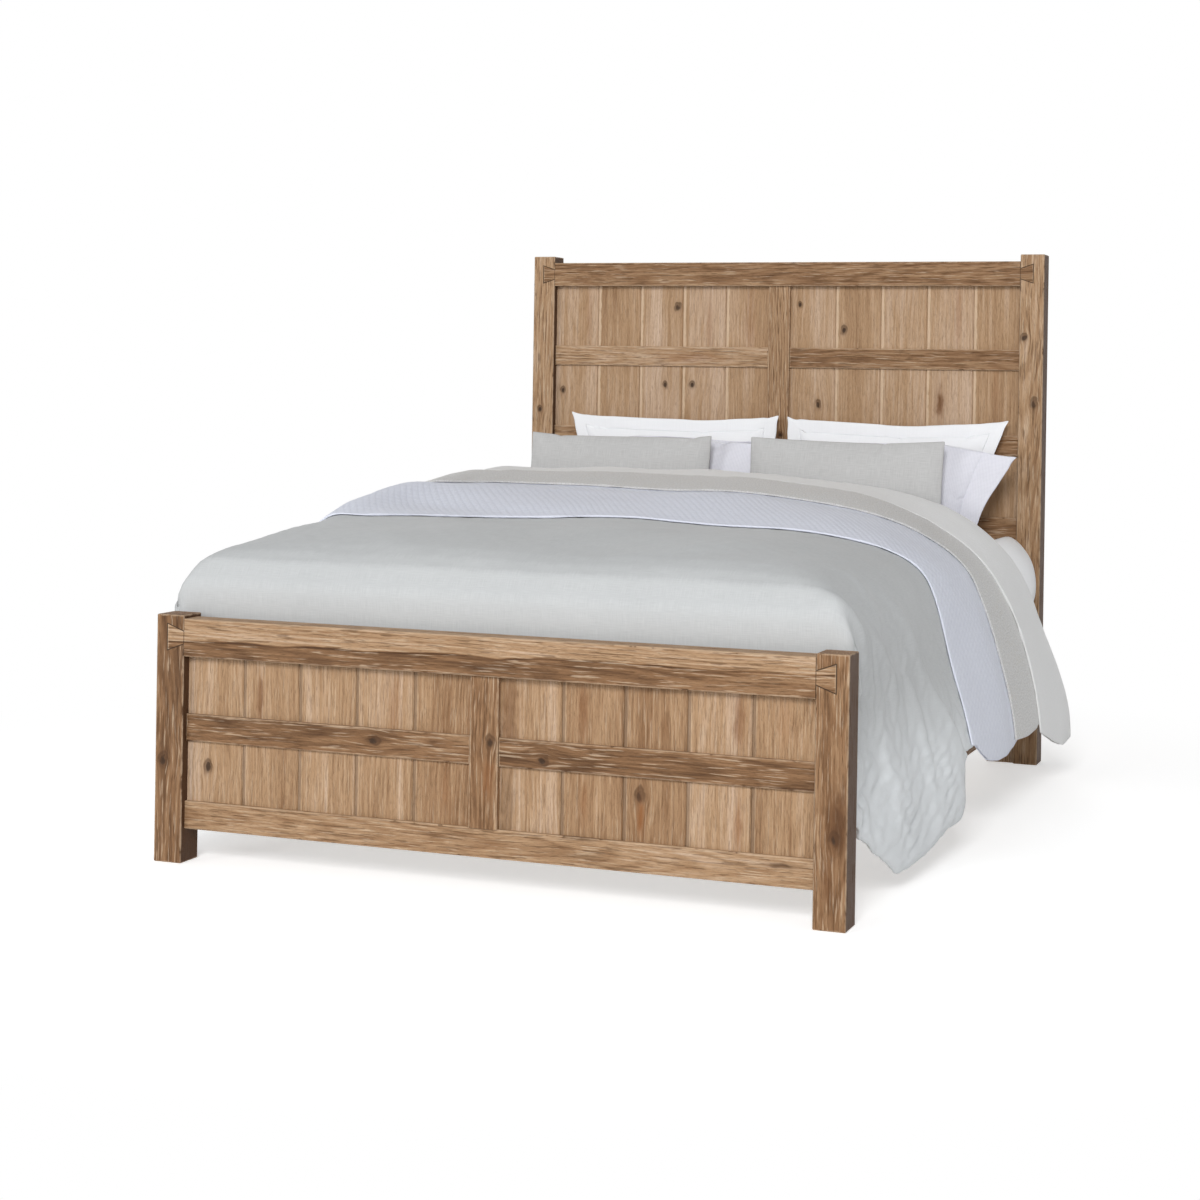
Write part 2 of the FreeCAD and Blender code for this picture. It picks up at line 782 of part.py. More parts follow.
def screws():
    """Screws through the cleats into the side rails, and down through the slats."""
    right = []
    for index, along in enumerate(cleat_screw_places(), start=1):
        right.append(screw(f"cleat_screw_{index}", INNER - s.cleat_side, along, CLEAT_MIDDLE, ACROSS))
    for step in SLAT_PLACES:
        right.append(screw(f"slat_screw_{step + 2}", INNER - s.cleat_side / 2, slat_screw_place(step), SLAT_TOP,
                           DOWN))
    left = [mirrored(f"{piece.Name}_left", piece, ACROSS) for piece in right]
    middle = [screw(f"leg_screw_{step + 2}", 0, s.slat_spacing * step, SLAT_TOP, DOWN) for step in SLAT_PLACES]
    group("wood_screws", right + left + middle)


def block_cushion(label, bottom, top, corner):
    half = s.mattress_width / 2
    reach = s.mattress_length / 2
    body = new_body(label)
    add_box(body, f"{label}_block", (-half, half), (-reach, reach), (bottom, top))
    round_edges(body, f"{label}_corners", corner, runs_along(2))
    keep(label, body)
    return body


def level_at(height):
    def wanted(edge):
        return all(abs(vertex.Point.z - float(height)) < SAME_PLACE for vertex in edge.Vertexes)
    return wanted


def mattress_set():
    block_cushion("box_spring", SLAT_TOP, BOX_SPRING_TOP, s.box_spring_corner)
    body = block_cushion("mattress", BOX_SPRING_TOP, MATTRESS_TOP, s.mattress_corner)
    round_edges(body, "mattress_top_edge", s.mattress_edge, level_at(MATTRESS_TOP))


# Bedding is draped in sections across the bed: a crown, a shoulder each side and a flared side drop.
# A bulge is how far a shoulder's arc stands out from its chord, as a share of the chord.
QUARTER_TURN_BULGE = 0.2071
LINING_BULGE = 0.234
DUVET_BULGE = 0.175
# How far a layer moves the shoulder out and the side up, as shares of its depth
SHOULDER_SPREAD = 0.3
SIDE_LIFT = 0.2
# The duvet's loft where its foot has rounded over, and its shoulder at the foot, as shares of the full loft
ROUNDED_LOFT = 0.95
FOOT_SHOULDER = 0.8
# Above 1, so that a pillow's ends keep a little of its depth
PILLOW_FULLNESS = 1.04
HALF = float(s.mattress_width / 2)
TOP = float(MATTRESS_TOP)
SIDE = float(INNER)
RAIL_FACE = float(INNER + s.side_rail_depth)
EDGE = float(s.mattress_edge)
GAP = float(s.cloth_gap)
HEAD_END = float(s.mattress_length / 2)
FOOT_END = -HEAD_END - 2 * GAP
FOOT_EDGE = -HEAD_END - float(s.duvet_tuck_reach)
HEAD_EDGE = HEAD_END + float(s.duvet_tuck_reach)
COVERLET_FRONT = HEAD_END - float(s.coverlet_reach)
BLANKET_FRONT = HEAD_END - float(s.blanket_reach)
CREASE = HEAD_END - float(s.blanket_crease_reach)
CREASE_HALF = float(s.blanket_crease_half)
BEDDING_END = HEAD_END - float(s.bedding_end_reach)


class Drape:
    """One surface across the bed at one place along it."""

    def __init__(self, crown, shoulder, side, flare, bulge):
        self.crown = crown
        self.shoulder = shoulder
        self.side = side
        self.flare = flare
        self.bulge = bulge

    def raised(self, depth):
        """The surface that lies this depth above and outside this one."""
        x, z = self.shoulder
        u, w = self.side
        return Drape(self.crown + depth, (x + SHOULDER_SPREAD * depth, z + depth),
                     (u + depth, w + SIDE_LIFT * depth), self.flare + depth, self.bulge)

    def lowered(self, drop):
        x, z = self.shoulder
        u, w = self.side
        return Drape(self.crown - drop, (x, z - drop), (u, w - drop), self.flare, self.bulge)

    def flared(self, extra):
        return Drape(self.crown, self.shoulder, self.side, self.flare + extra, self.bulge)

    def bend(self):
        """The middle of the shoulder's arc."""
        x, z = self.shoulder
        u, w = self.side
        return (x + u) / 2 + self.bulge * (z - w), (z + w) / 2 + self.bulge * (u - x)

    def hem(self, height):
        """The point of the side drop at a height; the flare is measured at the floor."""
        u, w = self.side
        return u + (self.flare - u) * (w - height) / w, height


def between(points, station):
    """A value that runs straight from each (station, value) to the next."""
    for (start, low), (end, high) in zip(points, points[1:]):
        if station <= end:
            return low + (high - low) * max(0, station - start) / (end - start)
    return points[-1][1]


def section(station, outer, inner, hem, slope=0):
    """A closed wire round the cloth at one station, leaning towards the head by slope as it falls."""
    def point(pair, side):
        x, z = pair
        return FreeCAD.Vector(side * x, station + slope * (TOP - z), z)

    def arc(start, middle, end):
        return Part.Arc(start, middle, end).toShape()

    def half(side):
        """Edges of one half, from the outer shoulder round the hem to the inner shoulder."""
        turn = [point(outer.side, side), point(outer.hem(hem), side), point(inner.hem(hem), side),
                point(inner.side, side)]
        lines = [Part.makeLine(start, end) for start, end in zip(turn, turn[1:])]
        first = arc(point(outer.shoulder, side), point(outer.bend(), side), turn[0])
        last = arc(turn[-1], point(inner.bend(), side), point(inner.shoulder, side))
        return [first] + lines + [last]

    top = arc(point(outer.shoulder, -1), point((0, outer.crown), 1), point(outer.shoulder, 1))
    under = arc(point(inner.shoulder, 1), point((0, inner.crown), 1), point(inner.shoulder, -1))
    return Part.Wire([top] + half(1) + [under] + half(-1)[::-1])


def soft_piece(label, shape):
    feature = doc.addObject("Part::Feature", label)
    feature.Shape = shape
    return keep(label, feature)


def sheet_surface(station, depth):
    """The sheet follows the mattress and swings out at the head."""
    flare = between([(BEDDING_END + EDGE, 0), (HEAD_END, float(s.sheet_flare))], station)
    lift = GAP + depth
    return Drape(TOP + lift + float(s.sheet_crown), (HALF - EDGE, TOP + lift),
                 (HALF + lift + flare, TOP - EDGE), HALF + lift + 2 * flare, QUARTER_TURN_BULGE)


def fold(station):
    """The folds of the side drop, as a wave along the bed."""
    turn = 2 * math.pi * (station - FOOT_END) / float(s.fold_pitch)
    return float(s.fold_height) * math.cos(turn)


def duvet_surface(station):
    foot = float(s.duvet_foot_loft)
    rounded = FOOT_END + float(s.duvet_foot_round)
    loft = between([(FOOT_END, foot), (rounded, ROUNDED_LOFT * float(s.duvet_loft)),
                    (COVERLET_FRONT, float(s.duvet_loft)), (BEDDING_END, float(s.duvet_head_loft))], station)
    rise = between([(FOOT_END, FOOT_SHOULDER * foot), (rounded, float(s.duvet_shoulder_up))], station)
    return Drape(TOP + loft, (HALF - float(s.duvet_shoulder_in), TOP + rise),
                 (SIDE + float(s.duvet_side_out), TOP - float(s.duvet_side_down)),
                 RAIL_FACE + float(s.duvet_flare) + fold(station), DUVET_BULGE)


def duvet_lining(station):
    """The underside of the duvet: flat on the sheet, then out past the side rails."""
    outer = duvet_surface(station)
    sheet = sheet_surface(station, float(s.sheet_depth)).raised(GAP)
    lining = float(s.duvet_lining)
    x, z = outer.side
    return Drape(sheet.crown, (HALF - EDGE / 2, sheet.shoulder[1]), (x - lining, z), outer.flare - lining,
                 LINING_BULGE)


def evenly(start, end):
    """Stations from start to end, several to each fold."""
    steps = max(1, round((end - start) * STATIONS_PER_FOLD / float(s.fold_pitch)))
    return [start + (end - start) * step / steps for step in range(steps)]


def bedding_stations():
    before = CREASE - CREASE_HALF
    after = CREASE + CREASE_HALF
    return (evenly(FOOT_END, COVERLET_FRONT) + evenly(COVERLET_FRONT, BLANKET_FRONT) +
            evenly(BLANKET_FRONT, before) + [before, CREASE] + evenly(after, BEDDING_END) + [BEDDING_END])


def layer(label, first, outer, inner, hem, lead=()):
    """A layer of bedding from the station where it starts to the pillows."""
    wires = list(lead)
    for station in bedding_stations():
        if station >= first:
            slope = float(s.bedding_end_slope) if station == BEDDING_END else 0
            wires.append(section(station, outer(station), inner(station), hem(station), slope))
    soft_piece(label, Part.makeLoft(wires, True, True))


def top_sheet():
    wires = []
    for station in (2 * GAP - HEAD_END, BEDDING_END + EDGE, (BEDDING_END + HEAD_EDGE) / 2, HEAD_END, HEAD_EDGE):
        wires.append(section(station, sheet_surface(station, float(s.sheet_depth)), sheet_surface(station, 0),
                             TOP - float(s.sheet_drop)))
    soft_piece("top_sheet", Part.makeLoft(wires, True, True))


def duvet():
    def hem(station):
        low = float(s.duvet_hem)
        return between([(FOOT_EDGE, float(s.duvet_foot_hem)), (FOOT_END + float(s.duvet_corner_reach), low),
                        (COVERLET_FRONT - float(s.duvet_back_reach), low),
                        (COVERLET_FRONT, float(s.duvet_back_hem))], station)

    tuck = float(s.duvet_tuck)
    tucked = section(FOOT_EDGE, duvet_surface(FOOT_END).lowered(tuck), duvet_lining(FOOT_END).lowered(tuck),
                     hem(FOOT_EDGE))
    layer("duvet", FOOT_END, duvet_surface, duvet_lining, hem, [tucked])


def coverlet_surface(station):
    return duvet_surface(station).raised(GAP + float(s.coverlet_depth))


def coverlet():
    def hem(station):
        return between([(COVERLET_FRONT, float(s.duvet_back_hem)),
                        (COVERLET_FRONT + EDGE * 2, float(s.coverlet_hem))], station)

    def lining(station):
        return duvet_surface(station).raised(GAP)

    layer("coverlet", COVERLET_FRONT, coverlet_surface, lining, hem)


def blanket():
    """Two bands of folded blanket with a crease between them, flaring out towards the head."""
    def spread(station):
        return between([(BLANKET_FRONT, 0), (BEDDING_END, float(s.blanket_flare))], station)

    def lining(station):
        return coverlet_surface(station).raised(GAP).flared(spread(station))

    def surface(station):
        crease = float(s.blanket_crease) if station == CREASE else 0
        return lining(station).raised(float(s.blanket_depth) - crease)

    def hem(station):
        return float(s.blanket_hem)

    layer("blanket", BLANKET_FRONT, surface, lining, hem)


def pillow_shape(width, height, depth):
    """A crowned pillow standing on its long edge, thin at the rim and drawn in along the top."""
    rim = float(s.pillow_rim) / 2
    wires = []
    for step in range(-PILLOW_STATIONS, PILLOW_STATIONS + 1):
        share = step / PILLOW_STATIONS
        swell = math.sqrt((PILLOW_FULLNESS - share * share) / PILLOW_FULLNESS)
        x = share * width / 2
        top = height - float(s.pillow_draw) * (1 - share * share)
        belly = rim + (depth / 2 - rim) * swell
        corners = [FreeCAD.Vector(x, y, z) for y, z in ((-rim, 0), (-rim, top), (rim, top), (rim, 0))]
        front = Part.Arc(corners[0], FreeCAD.Vector(x, -belly, top / 2), corners[1]).toShape()
        back = Part.Arc(corners[2], FreeCAD.Vector(x, belly, top / 2), corners[3]).toShape()
        wires.append(Part.Wire([front, Part.makeLine(corners[1], corners[2]), back,
                                Part.makeLine(corners[3], corners[0])]))
    return Part.makeLoft(wires, True)


def pillows():
    """Three rows of pillows leaning on the headboard, each row against the one behind it."""
    lean = float(s.pillow_lean)
    turn = FreeCAD.Rotation(FreeCAD.Vector(1, 0, 0), -lean)
    seat = TOP + 2 * GAP + float(s.sheet_depth) + float(s.sheet_crown)
    wall = float(HEAD_FRONT + s.rail_setback - s.pillow_gap)
    behind = None
    for row in PILLOW_ROWS:
        width, height, depth = (float(getattr(s, f"{row}_pillow_{side}"))
                                for side in ("width", "height", "depth"))
        shape = pillow_shape(width, height, depth)
        leaning = shape.copy()
        leaning.Placement = FreeCAD.Placement(FreeCAD.Vector(0, 0, 0), turn)
        if behind is None:
            y = wall - leaning.BoundBox.YMax
        else:
            y -= ((behind + depth) / 2 + float(s.pillow_gap)) / math.cos(math.radians(lean))
        behind = depth
        z = seat - leaning.BoundBox.ZMin
        for side, sign in (("left", -1), ("right", 1)):
            x = sign * float(getattr(s, f"{row}_pillow_{side}"))
            piece = soft_piece(f"pillow_{row}_{side}", shape)
            piece.Placement = FreeCAD.Placement(FreeCAD.Vector(x, y, z), turn)


def build():
    head_battens = (("upper_batten", s.head_upper_batten), ("lower_batten", s.head_lower_batten))
    foot_battens = (("batten", s.foot_batten),)
    head = End("head", HEAD_FRONT, head_battens, True)
    foot = End("foot", FOOT_FRONT, foot_battens, False)
    for end in (head, foot):
        bed_end(end)
    inner_legs(head)
    side_rails()
    hooks()
    hook_pins()
    cleats()
    slats()
    center_legs()
    levellers()
    screws()
    mattress_set()
    top_sheet()
    duvet()
    coverlet()
    blanket()
    pillows()
    doc.recompute()


def check():
    for obj in doc.Objects:
        if "Invalid" in obj.State or "Error" in obj.State:
            raise RuntimeError(f"{obj.Name} failed: {obj.State}")
    for label, piece in pieces.items():
        if piece.Shape.isNull() or not piece.Shape.isValid() or piece.Shape.Volume <= 0:
            raise RuntimeError(f"{label} has no valid solid")


def write():
    os.makedirs("parts", exist_ok=True)
    for label, piece in pieces.items():
        piece.Shape.exportStep(os.path.join("parts", f"{label}.step"))
        print(f"{label}: {len(piece.Shape.Solids)} solids, {piece.Shape.Volume / CUBIC_MM_IN_LITRE:.3f} litres")
    print(f"{len(pieces)} pieces")


build()
check()
write()
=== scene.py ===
"""A board and batten bed in rustic oak, made up with linen bedding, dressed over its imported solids."""

import math
from functools import partial

import bpy
import numpy as np
from mathutils import Matrix, Vector


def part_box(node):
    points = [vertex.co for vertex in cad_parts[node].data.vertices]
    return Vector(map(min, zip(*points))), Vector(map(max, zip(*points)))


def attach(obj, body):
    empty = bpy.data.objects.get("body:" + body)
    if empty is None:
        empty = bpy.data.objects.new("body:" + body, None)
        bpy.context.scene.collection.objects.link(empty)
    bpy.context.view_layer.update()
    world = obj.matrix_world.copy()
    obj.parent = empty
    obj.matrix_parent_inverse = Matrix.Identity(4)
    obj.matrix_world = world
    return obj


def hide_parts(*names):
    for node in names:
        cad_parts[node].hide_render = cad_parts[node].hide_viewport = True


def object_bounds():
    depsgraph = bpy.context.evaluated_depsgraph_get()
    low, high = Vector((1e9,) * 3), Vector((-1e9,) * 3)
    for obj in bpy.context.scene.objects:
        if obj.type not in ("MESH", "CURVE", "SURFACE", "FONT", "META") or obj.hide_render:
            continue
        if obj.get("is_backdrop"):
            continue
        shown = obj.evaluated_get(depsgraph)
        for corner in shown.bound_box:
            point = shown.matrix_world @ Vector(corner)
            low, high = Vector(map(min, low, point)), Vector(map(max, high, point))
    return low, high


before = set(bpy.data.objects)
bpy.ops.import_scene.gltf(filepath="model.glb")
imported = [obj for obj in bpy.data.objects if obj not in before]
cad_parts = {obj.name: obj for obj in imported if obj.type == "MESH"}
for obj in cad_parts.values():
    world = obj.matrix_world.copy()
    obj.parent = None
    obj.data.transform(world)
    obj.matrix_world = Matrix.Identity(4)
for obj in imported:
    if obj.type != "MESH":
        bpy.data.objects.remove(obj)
cad_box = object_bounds()
scene = bpy.context.scene
TURN = 2 * math.pi

# The photograph's camera
CAMERA_PLACE = (2.0492, -5.4874, 1.1578)
CAMERA_YAW = math.radians(19.668)
CAMERA_ROLL = math.radians(0.908)
CAMERA_LENS = 64.381
CAMERA_SHIFT = (-0.0771, -0.1825)


def add_camera():
    lens = bpy.data.cameras.new("camera")
    lens.lens = CAMERA_LENS
    lens.sensor_width = 36.0
    lens.shift_x, lens.shift_y = CAMERA_SHIFT
    camera = bpy.data.objects.new("camera", lens)
    level = Matrix.Rotation(math.radians(90), 4, "X")
    turned = Matrix.Rotation(CAMERA_YAW, 4, "Z") @ level @ Matrix.Rotation(CAMERA_ROLL, 4, "Z")
    camera.matrix_world = Matrix.Translation(CAMERA_PLACE) @ turned
    scene.collection.objects.link(camera)
    scene.camera = camera


def field_operator(operation, swapped=False):
    """A method that joins a field and another value with a Math node."""

    def joined(self, other):
        first, second = (other, self) if swapped else (self, other)
        return self.nodes.math(operation, first, second)

    return joined


class Field:
    """A value that changes over a surface; arithmetic on it adds Math nodes."""

    def __init__(self, nodes, socket):
        self.nodes = nodes
        self.socket = socket

    __add__ = field_operator("ADD")
    __radd__ = field_operator("ADD", swapped=True)
    __sub__ = field_operator("SUBTRACT")
    __rsub__ = field_operator("SUBTRACT", swapped=True)
    __mul__ = field_operator("MULTIPLY")
    __truediv__ = field_operator("DIVIDE")
    __rtruediv__ = field_operator("DIVIDE", swapped=True)
    __pow__ = field_operator("POWER")


class Nodes:
    """A node tree, with short ways of adding to it."""

    def __init__(self, tree):
        self.tree = tree
        tree.nodes.clear()

    def node(self, kind, settings=None, inputs=None, output=0):
        added = self.tree.nodes.new(kind)
        for setting, value in (settings or {}).items():
            if setting == "stops":
                self.set_stops(added.color_ramp, value)
            else:
                setattr(added, setting, value)
        for socket, value in (inputs or {}).items():
            self.feed(added.inputs[socket], value)
        return Field(self, added.outputs[output]) if added.outputs else None

    def feed(self, socket, value):
        if isinstance(value, Field):
            self.tree.links.new(value.socket, socket)
        else:
            socket.default_value = value

    def set_stops(self, ramp, stops):
        while len(ramp.elements) < len(stops):
            ramp.elements.new(1.0)
        for element, (position, shade) in zip(ramp.elements, stops):
            element.position = position
            element.color = (*shade, 1.0)

    def math(self, operation, first, second=0.0):
        return self.node("ShaderNodeMath", {"operation": operation}, {0: first, 1: second})

    def smaller(self, first, second):
        return self.math("MINIMUM", first, second)

    def larger(self, first, second):
        return self.math("MAXIMUM", first, second)

    def size(self, value):
        return self.math("ABSOLUTE", value)

    def rise(self, value, start, end):
        """0 where the value is before start, 1 after end and smooth between."""
        settings = {"interpolation_type": "SMOOTHSTEP"}
        return self.node("ShaderNodeMapRange", settings, {0: value, 1: start, 2: end})

    def fall(self, value, start, end):
        """1 where the value is before start, 0 after end and smooth between."""
        return 1 - self.rise(value, start, end)

    def mix(self, share, first, second):
        return self.node("ShaderNodeMix", {"data_type": "RGBA"}, {0: share, 6: first, 7: second}, 2)

    def vector(self, first, second, third):
        return self.node("ShaderNodeCombineXYZ", None, {0: first, 1: second, 2: third})

    def split(self, place):
        added = self.node("ShaderNodeSeparateXYZ", None, {0: place}).socket.node
        return [Field(self, socket) for socket in added.outputs]

    def place(self):
        return self.node("ShaderNodeTexCoord", output="Object")

    def noise(self, place, detail=2.0, roughness=0.5):
        """Noise at a place given by three measures, each in cycles."""
        inputs = {"Vector": self.vector(*place), "Scale": 1.0, "Detail": detail, "Roughness": roughness}
        return self.node("ShaderNodeTexNoise", None, inputs, "Fac")

    def bump(self, height, distance, strength):
        inputs = {"Height": height, "Distance": distance, "Strength": strength}
        return self.node("ShaderNodeBump", None, inputs)


class Finish(Nodes):
    """A material and the nodes that make it."""

    def __init__(self, name):
        self.material = bpy.data.materials.new(name)
        self.material.use_nodes = True
        super().__init__(self.material.node_tree)

    def surface(self, **inputs):
        """Closes the material with one shader, whose sockets are given by name."""
        named = {}
        for name, value in inputs.items():
            named[name.replace("_", " ").title().replace("Ior", "IOR")] = value
        shader = self.node("ShaderNodeBsdfPrincipled", None, named)
        self.node("ShaderNodeOutputMaterial", None, {"Surface": shader})
        return self.material


def colour(red, green, blue):
    return (red, green, blue, 1.0)


# Light and floor
WHITE = colour(1, 1, 1)
WORLD_COLOUR = colour(0.99, 0.995, 1.0)
WORLD_LIGHT = 0.28
FLOOR_SIZE = 60.0
FLOOR_COLOUR = colour(0.9, 0.9, 0.9)
FLOOR_LIFT = 0.48
FLOOR_BOUNCE = colour(0.28, 0.28, 0.28)
FLOOR_DROP = -0.0005
FLOOR_FADE = (1.3, 2.6)
LAMP_WIDTH = 4.0
LAMPS = {
    "main_lamp": {"place": (2.9, -11.6, 6.8), "aim": (0.0, 0.0, 0.6), "level": 0.585},
    "left_lamp": {"place": (-8.0, -12.0, 3.4), "aim": (0.0, 0.2, 0.6), "level": 0.18},
    "back_lamp": {"place": (-2.5, 12.0, 4.0), "aim": (0.0, 0.0, 0.8), "level": 0.15},
}


def add_lamp(name, place, aim, level):
    """An area lamp that alone shows a white surface facing it at the given level."""
    lamp = bpy.data.lights.new(name, "AREA")
    lamp.shape = "SQUARE"
    lamp.size = LAMP_WIDTH
    reach = Vector(aim) - Vector(place)
    lamp.energy = level * math.pi ** 2 * reach.length_squared
    lamp_object = bpy.data.objects.new(name, lamp)
    lamp_object.location = place
    lamp_object.rotation_euler = reach.to_track_quat("-Z", "Y").to_euler()
    scene.collection.objects.link(lamp_object)


def shown_ray(nodes):
    """1 for rays that show a background: straight from the camera, mirrored or seen through."""
    light_path = nodes.node("ShaderNodeLightPath").socket.node
    camera, glossy, through = (
        Field(nodes, light_path.outputs[name])
        for name in ("Is Camera Ray", "Is Glossy Ray", "Is Transmission Ray")
    )
    return nodes.larger(camera, nodes.larger(glossy, through))


def add_world():
    world = bpy.data.worlds.new("studio")
    world.use_nodes = True
    scene.world = world
    sky = Nodes(world.node_tree)
    lit = sky.node("ShaderNodeBackground", None, {"Color": WORLD_COLOUR, "Strength": WORLD_LIGHT})
    white = sky.node("ShaderNodeBackground", None, {"Color": WHITE, "Strength": 1.0})
    both = sky.node("ShaderNodeMixShader", None, {0: shown_ray(sky), 1: lit, 2: white})
    sky.node("ShaderNodeOutputWorld", None, {"Surface": both})


def add_floor():
    """A pale floor that takes soft shadows near the bed and turns white further out."""
    bpy.ops.object.select_all(action="DESELECT")
    bpy.ops.mesh.primitive_plane_add(size=FLOOR_SIZE, location=(0, 0, FLOOR_DROP))
    floor = bpy.context.active_object
    bpy.ops.object.transform_apply()
    floor.name = "studio_floor"
    paint = Finish("studio_floor")
    lit = paint.node("ShaderNodeBsdfDiffuse", None, {"Color": FLOOR_COLOUR})
    lifted = paint.mix(shown_ray(paint), FLOOR_BOUNCE, WHITE)
    lift = paint.node("ShaderNodeEmission", None, {"Color": lifted, "Strength": FLOOR_LIFT})
    near = paint.node("ShaderNodeAddShader", None, {0: lit, 1: lift})
    x, y, _ = paint.split(paint.place())
    away = paint.rise((x * x + y * y) ** 0.5, *FLOOR_FADE) * shown_ray(paint)
    white = paint.node("ShaderNodeEmission", None, {"Color": WHITE, "Strength": 1.0})
    both = paint.node("ShaderNodeMixShader", None, {0: away, 1: near, 2: white})
    paint.node("ShaderNodeOutputMaterial", None, {"Surface": both})
    floor.data.materials.append(paint.material)
    floor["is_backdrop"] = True


# Oak
OAK_STOPS = [
    (0.0, (0.080, 0.036, 0.014)),
    (0.34, (0.235, 0.124, 0.058)),
    (0.66, (0.41, 0.258, 0.144)),
    (1.0, (0.615, 0.460, 0.345)),
]
OAK_DARK = colour(0.075, 0.034, 0.014)
OAK_BLACK = colour(0.03, 0.016, 0.008)
OAK_RED = colour(0.25, 0.105, 0.038)
OAK_FLECK = colour(0.62, 0.475, 0.335)
# Pale oak of worn edges, also used as a painted highlight along the head boards' edges
OAK_WEAR_AND_HIGHLIGHT = colour(0.62, 0.455, 0.31)
# How strongly each kind of figure shows
FRAME_GRAIN = {
    "broad": 0.60, "strip": 0.45, "hair": 0.75, "rings": 0.14, "dash": 0.50, "fleck": 0.50,
    "worn": 0.5, "nick": 0.6, "joint": 0.0,
}
# The head boards' strong worn edges are partly real wear and partly a painted highlight along the board
# bevels
HEAD_BOARD_GRAIN = {
    "broad": 0.55, "strip": 0.46, "hair": 0.40, "rings": 0.05, "dash": 0.12, "fleck": 0.16,
    "worn": 0.9, "nick": 0.1, "joint": 0.0,
}
FOOT_BOARD_GRAIN = {
    "broad": 0.66, "strip": 0.60, "hair": 0.55, "rings": 0.07, "dash": 0.22, "fleck": 0.30,
    "worn": 0.35, "nick": 0.1, "joint": 0.5,
}
# Cycles in a metre along the grain and across it, then the detail and roughness, of each noise in the wood
GRAIN_NOISE = {
    "wobble": (34.0, 55.0, 2.0, 0.5),
    "wander": (1.6, 4.0, 1.0, 0.5),
    "broad": (1.0, 10.0, 2.0, 0.5),
    "strip": (1.7, 60.0, 3.0, 0.6),
    "hair": (5.0, 200.0, 3.0, 0.65),
    "dash": (15.0, 215.0, 2.0, 0.5),
    "pore": (60.0, 800.0, 1.0, 0.5),
    "fleck": (13.0, 230.0, 2.0, 0.5),
    "saw_line": (4.0, 3.0, 2.0, 0.5),
}
NOISE_SHIFT = 20
DASH_CUT = (0.56, 0.66)
PORE_CUT = (0.57, 0.68)
PORE_SHADE = 0.22
FLECK_SPREAD = 1.07
GRAIN_WANDER = 0.016
RING_PITCH = 0.0075
RING_WANDER = 0.03
RING_HAIR = 0.004
RING_MEAN = 0.35
HEART_DEPTH = (0.035, 0.09)
HEART_LEAN = (0.025, 0.06)
DASH_DEPTH = 0.6
PORE_DEPTH = 0.4
HAIR_HEIGHT = 0.5
STRIP_HEIGHT = 0.3
OAK_RELIEF = 0.0012
OAK_BUMP = 0.8
OAK_ROUGH = 0.56
HAIR_ROUGH = 0.24
DASH_ROUGH = 0.16
OAK_SHINE = 0.22

# Knots and streaks: measures are shares of the mark's own size
MARK_SWAY = (0.9, 1.1)
MARK_FALL = 3.0
MARK_LEAST = 0.45
KNOT_BEND = 0.8
BEND_FALL = 0.5
KNOT_LEAN = 2.0
KNOT_LOPSIDED = (-0.9, 0.7)
KNOT_RIM = 0.8
KNOT_RIM_FADE = (0.1, 0.6)
KNOT_RIM_SHADE = 0.6
KNOT_SWAY = 0.8
KNOT_CORE = (0.08, 0.42)
KNOT_CORE_SHADE = 0.75

# Wear (on the head boards also a painted highlight), dark joint lines and the painted shade on the posts'
# sides, near an edge, a face or a seam: a fade is a pair of distances from it
# Painted shade: a post's faces towards either side turn dark oak, fading out over a narrow band by their
# edges
PAINTED_SHADE_FADE = (0.0004, 0.0022)
PAINTED_SHADE_STRENGTH = 0.97
WORN_FADE = (0.0006, 0.0042)
WORN_SWAY = 0.007
NICK_FADE = (0.002, 0.005)
NICK_CUT = (0.14, 0.20)
JOINT_FADE = (0.0003, 0.0018)
SEAM_FADE = (0.00052, 0.00195)
SEAM_SHADE = 0.85
SHOULDER_FADE = (0.00039, 0.0013)
SHOULDER_SHADE = 0.8
TAIL_INSIDE = 0.0005
TAIL_FACE = 0.001
RAIL_HALF = (0.046, 0.047)

HEAD_TAIL = {"root": 0.776, "tip": 0.816, "neck": 0.016, "end": 0.029, "middle": 1.503, "face": 1.0465}
FOOT_TAIL = {"root": 0.776, "tip": 0.821, "neck": 0.015, "end": 0.0315, "middle": 0.5335, "face": -1.1195}


def streak(along, across, length, width, dark=0.0, red=0.0):
    return {"along": along, "across": across, "length": length, "width": width, "dark": dark, "red": red}


def knot(along, across, size, stretch=1.4, dark=0.9):
    """A mark that the grain bends round."""
    return {**streak(along, across, size * stretch, size, dark), "bend": KNOT_BEND}


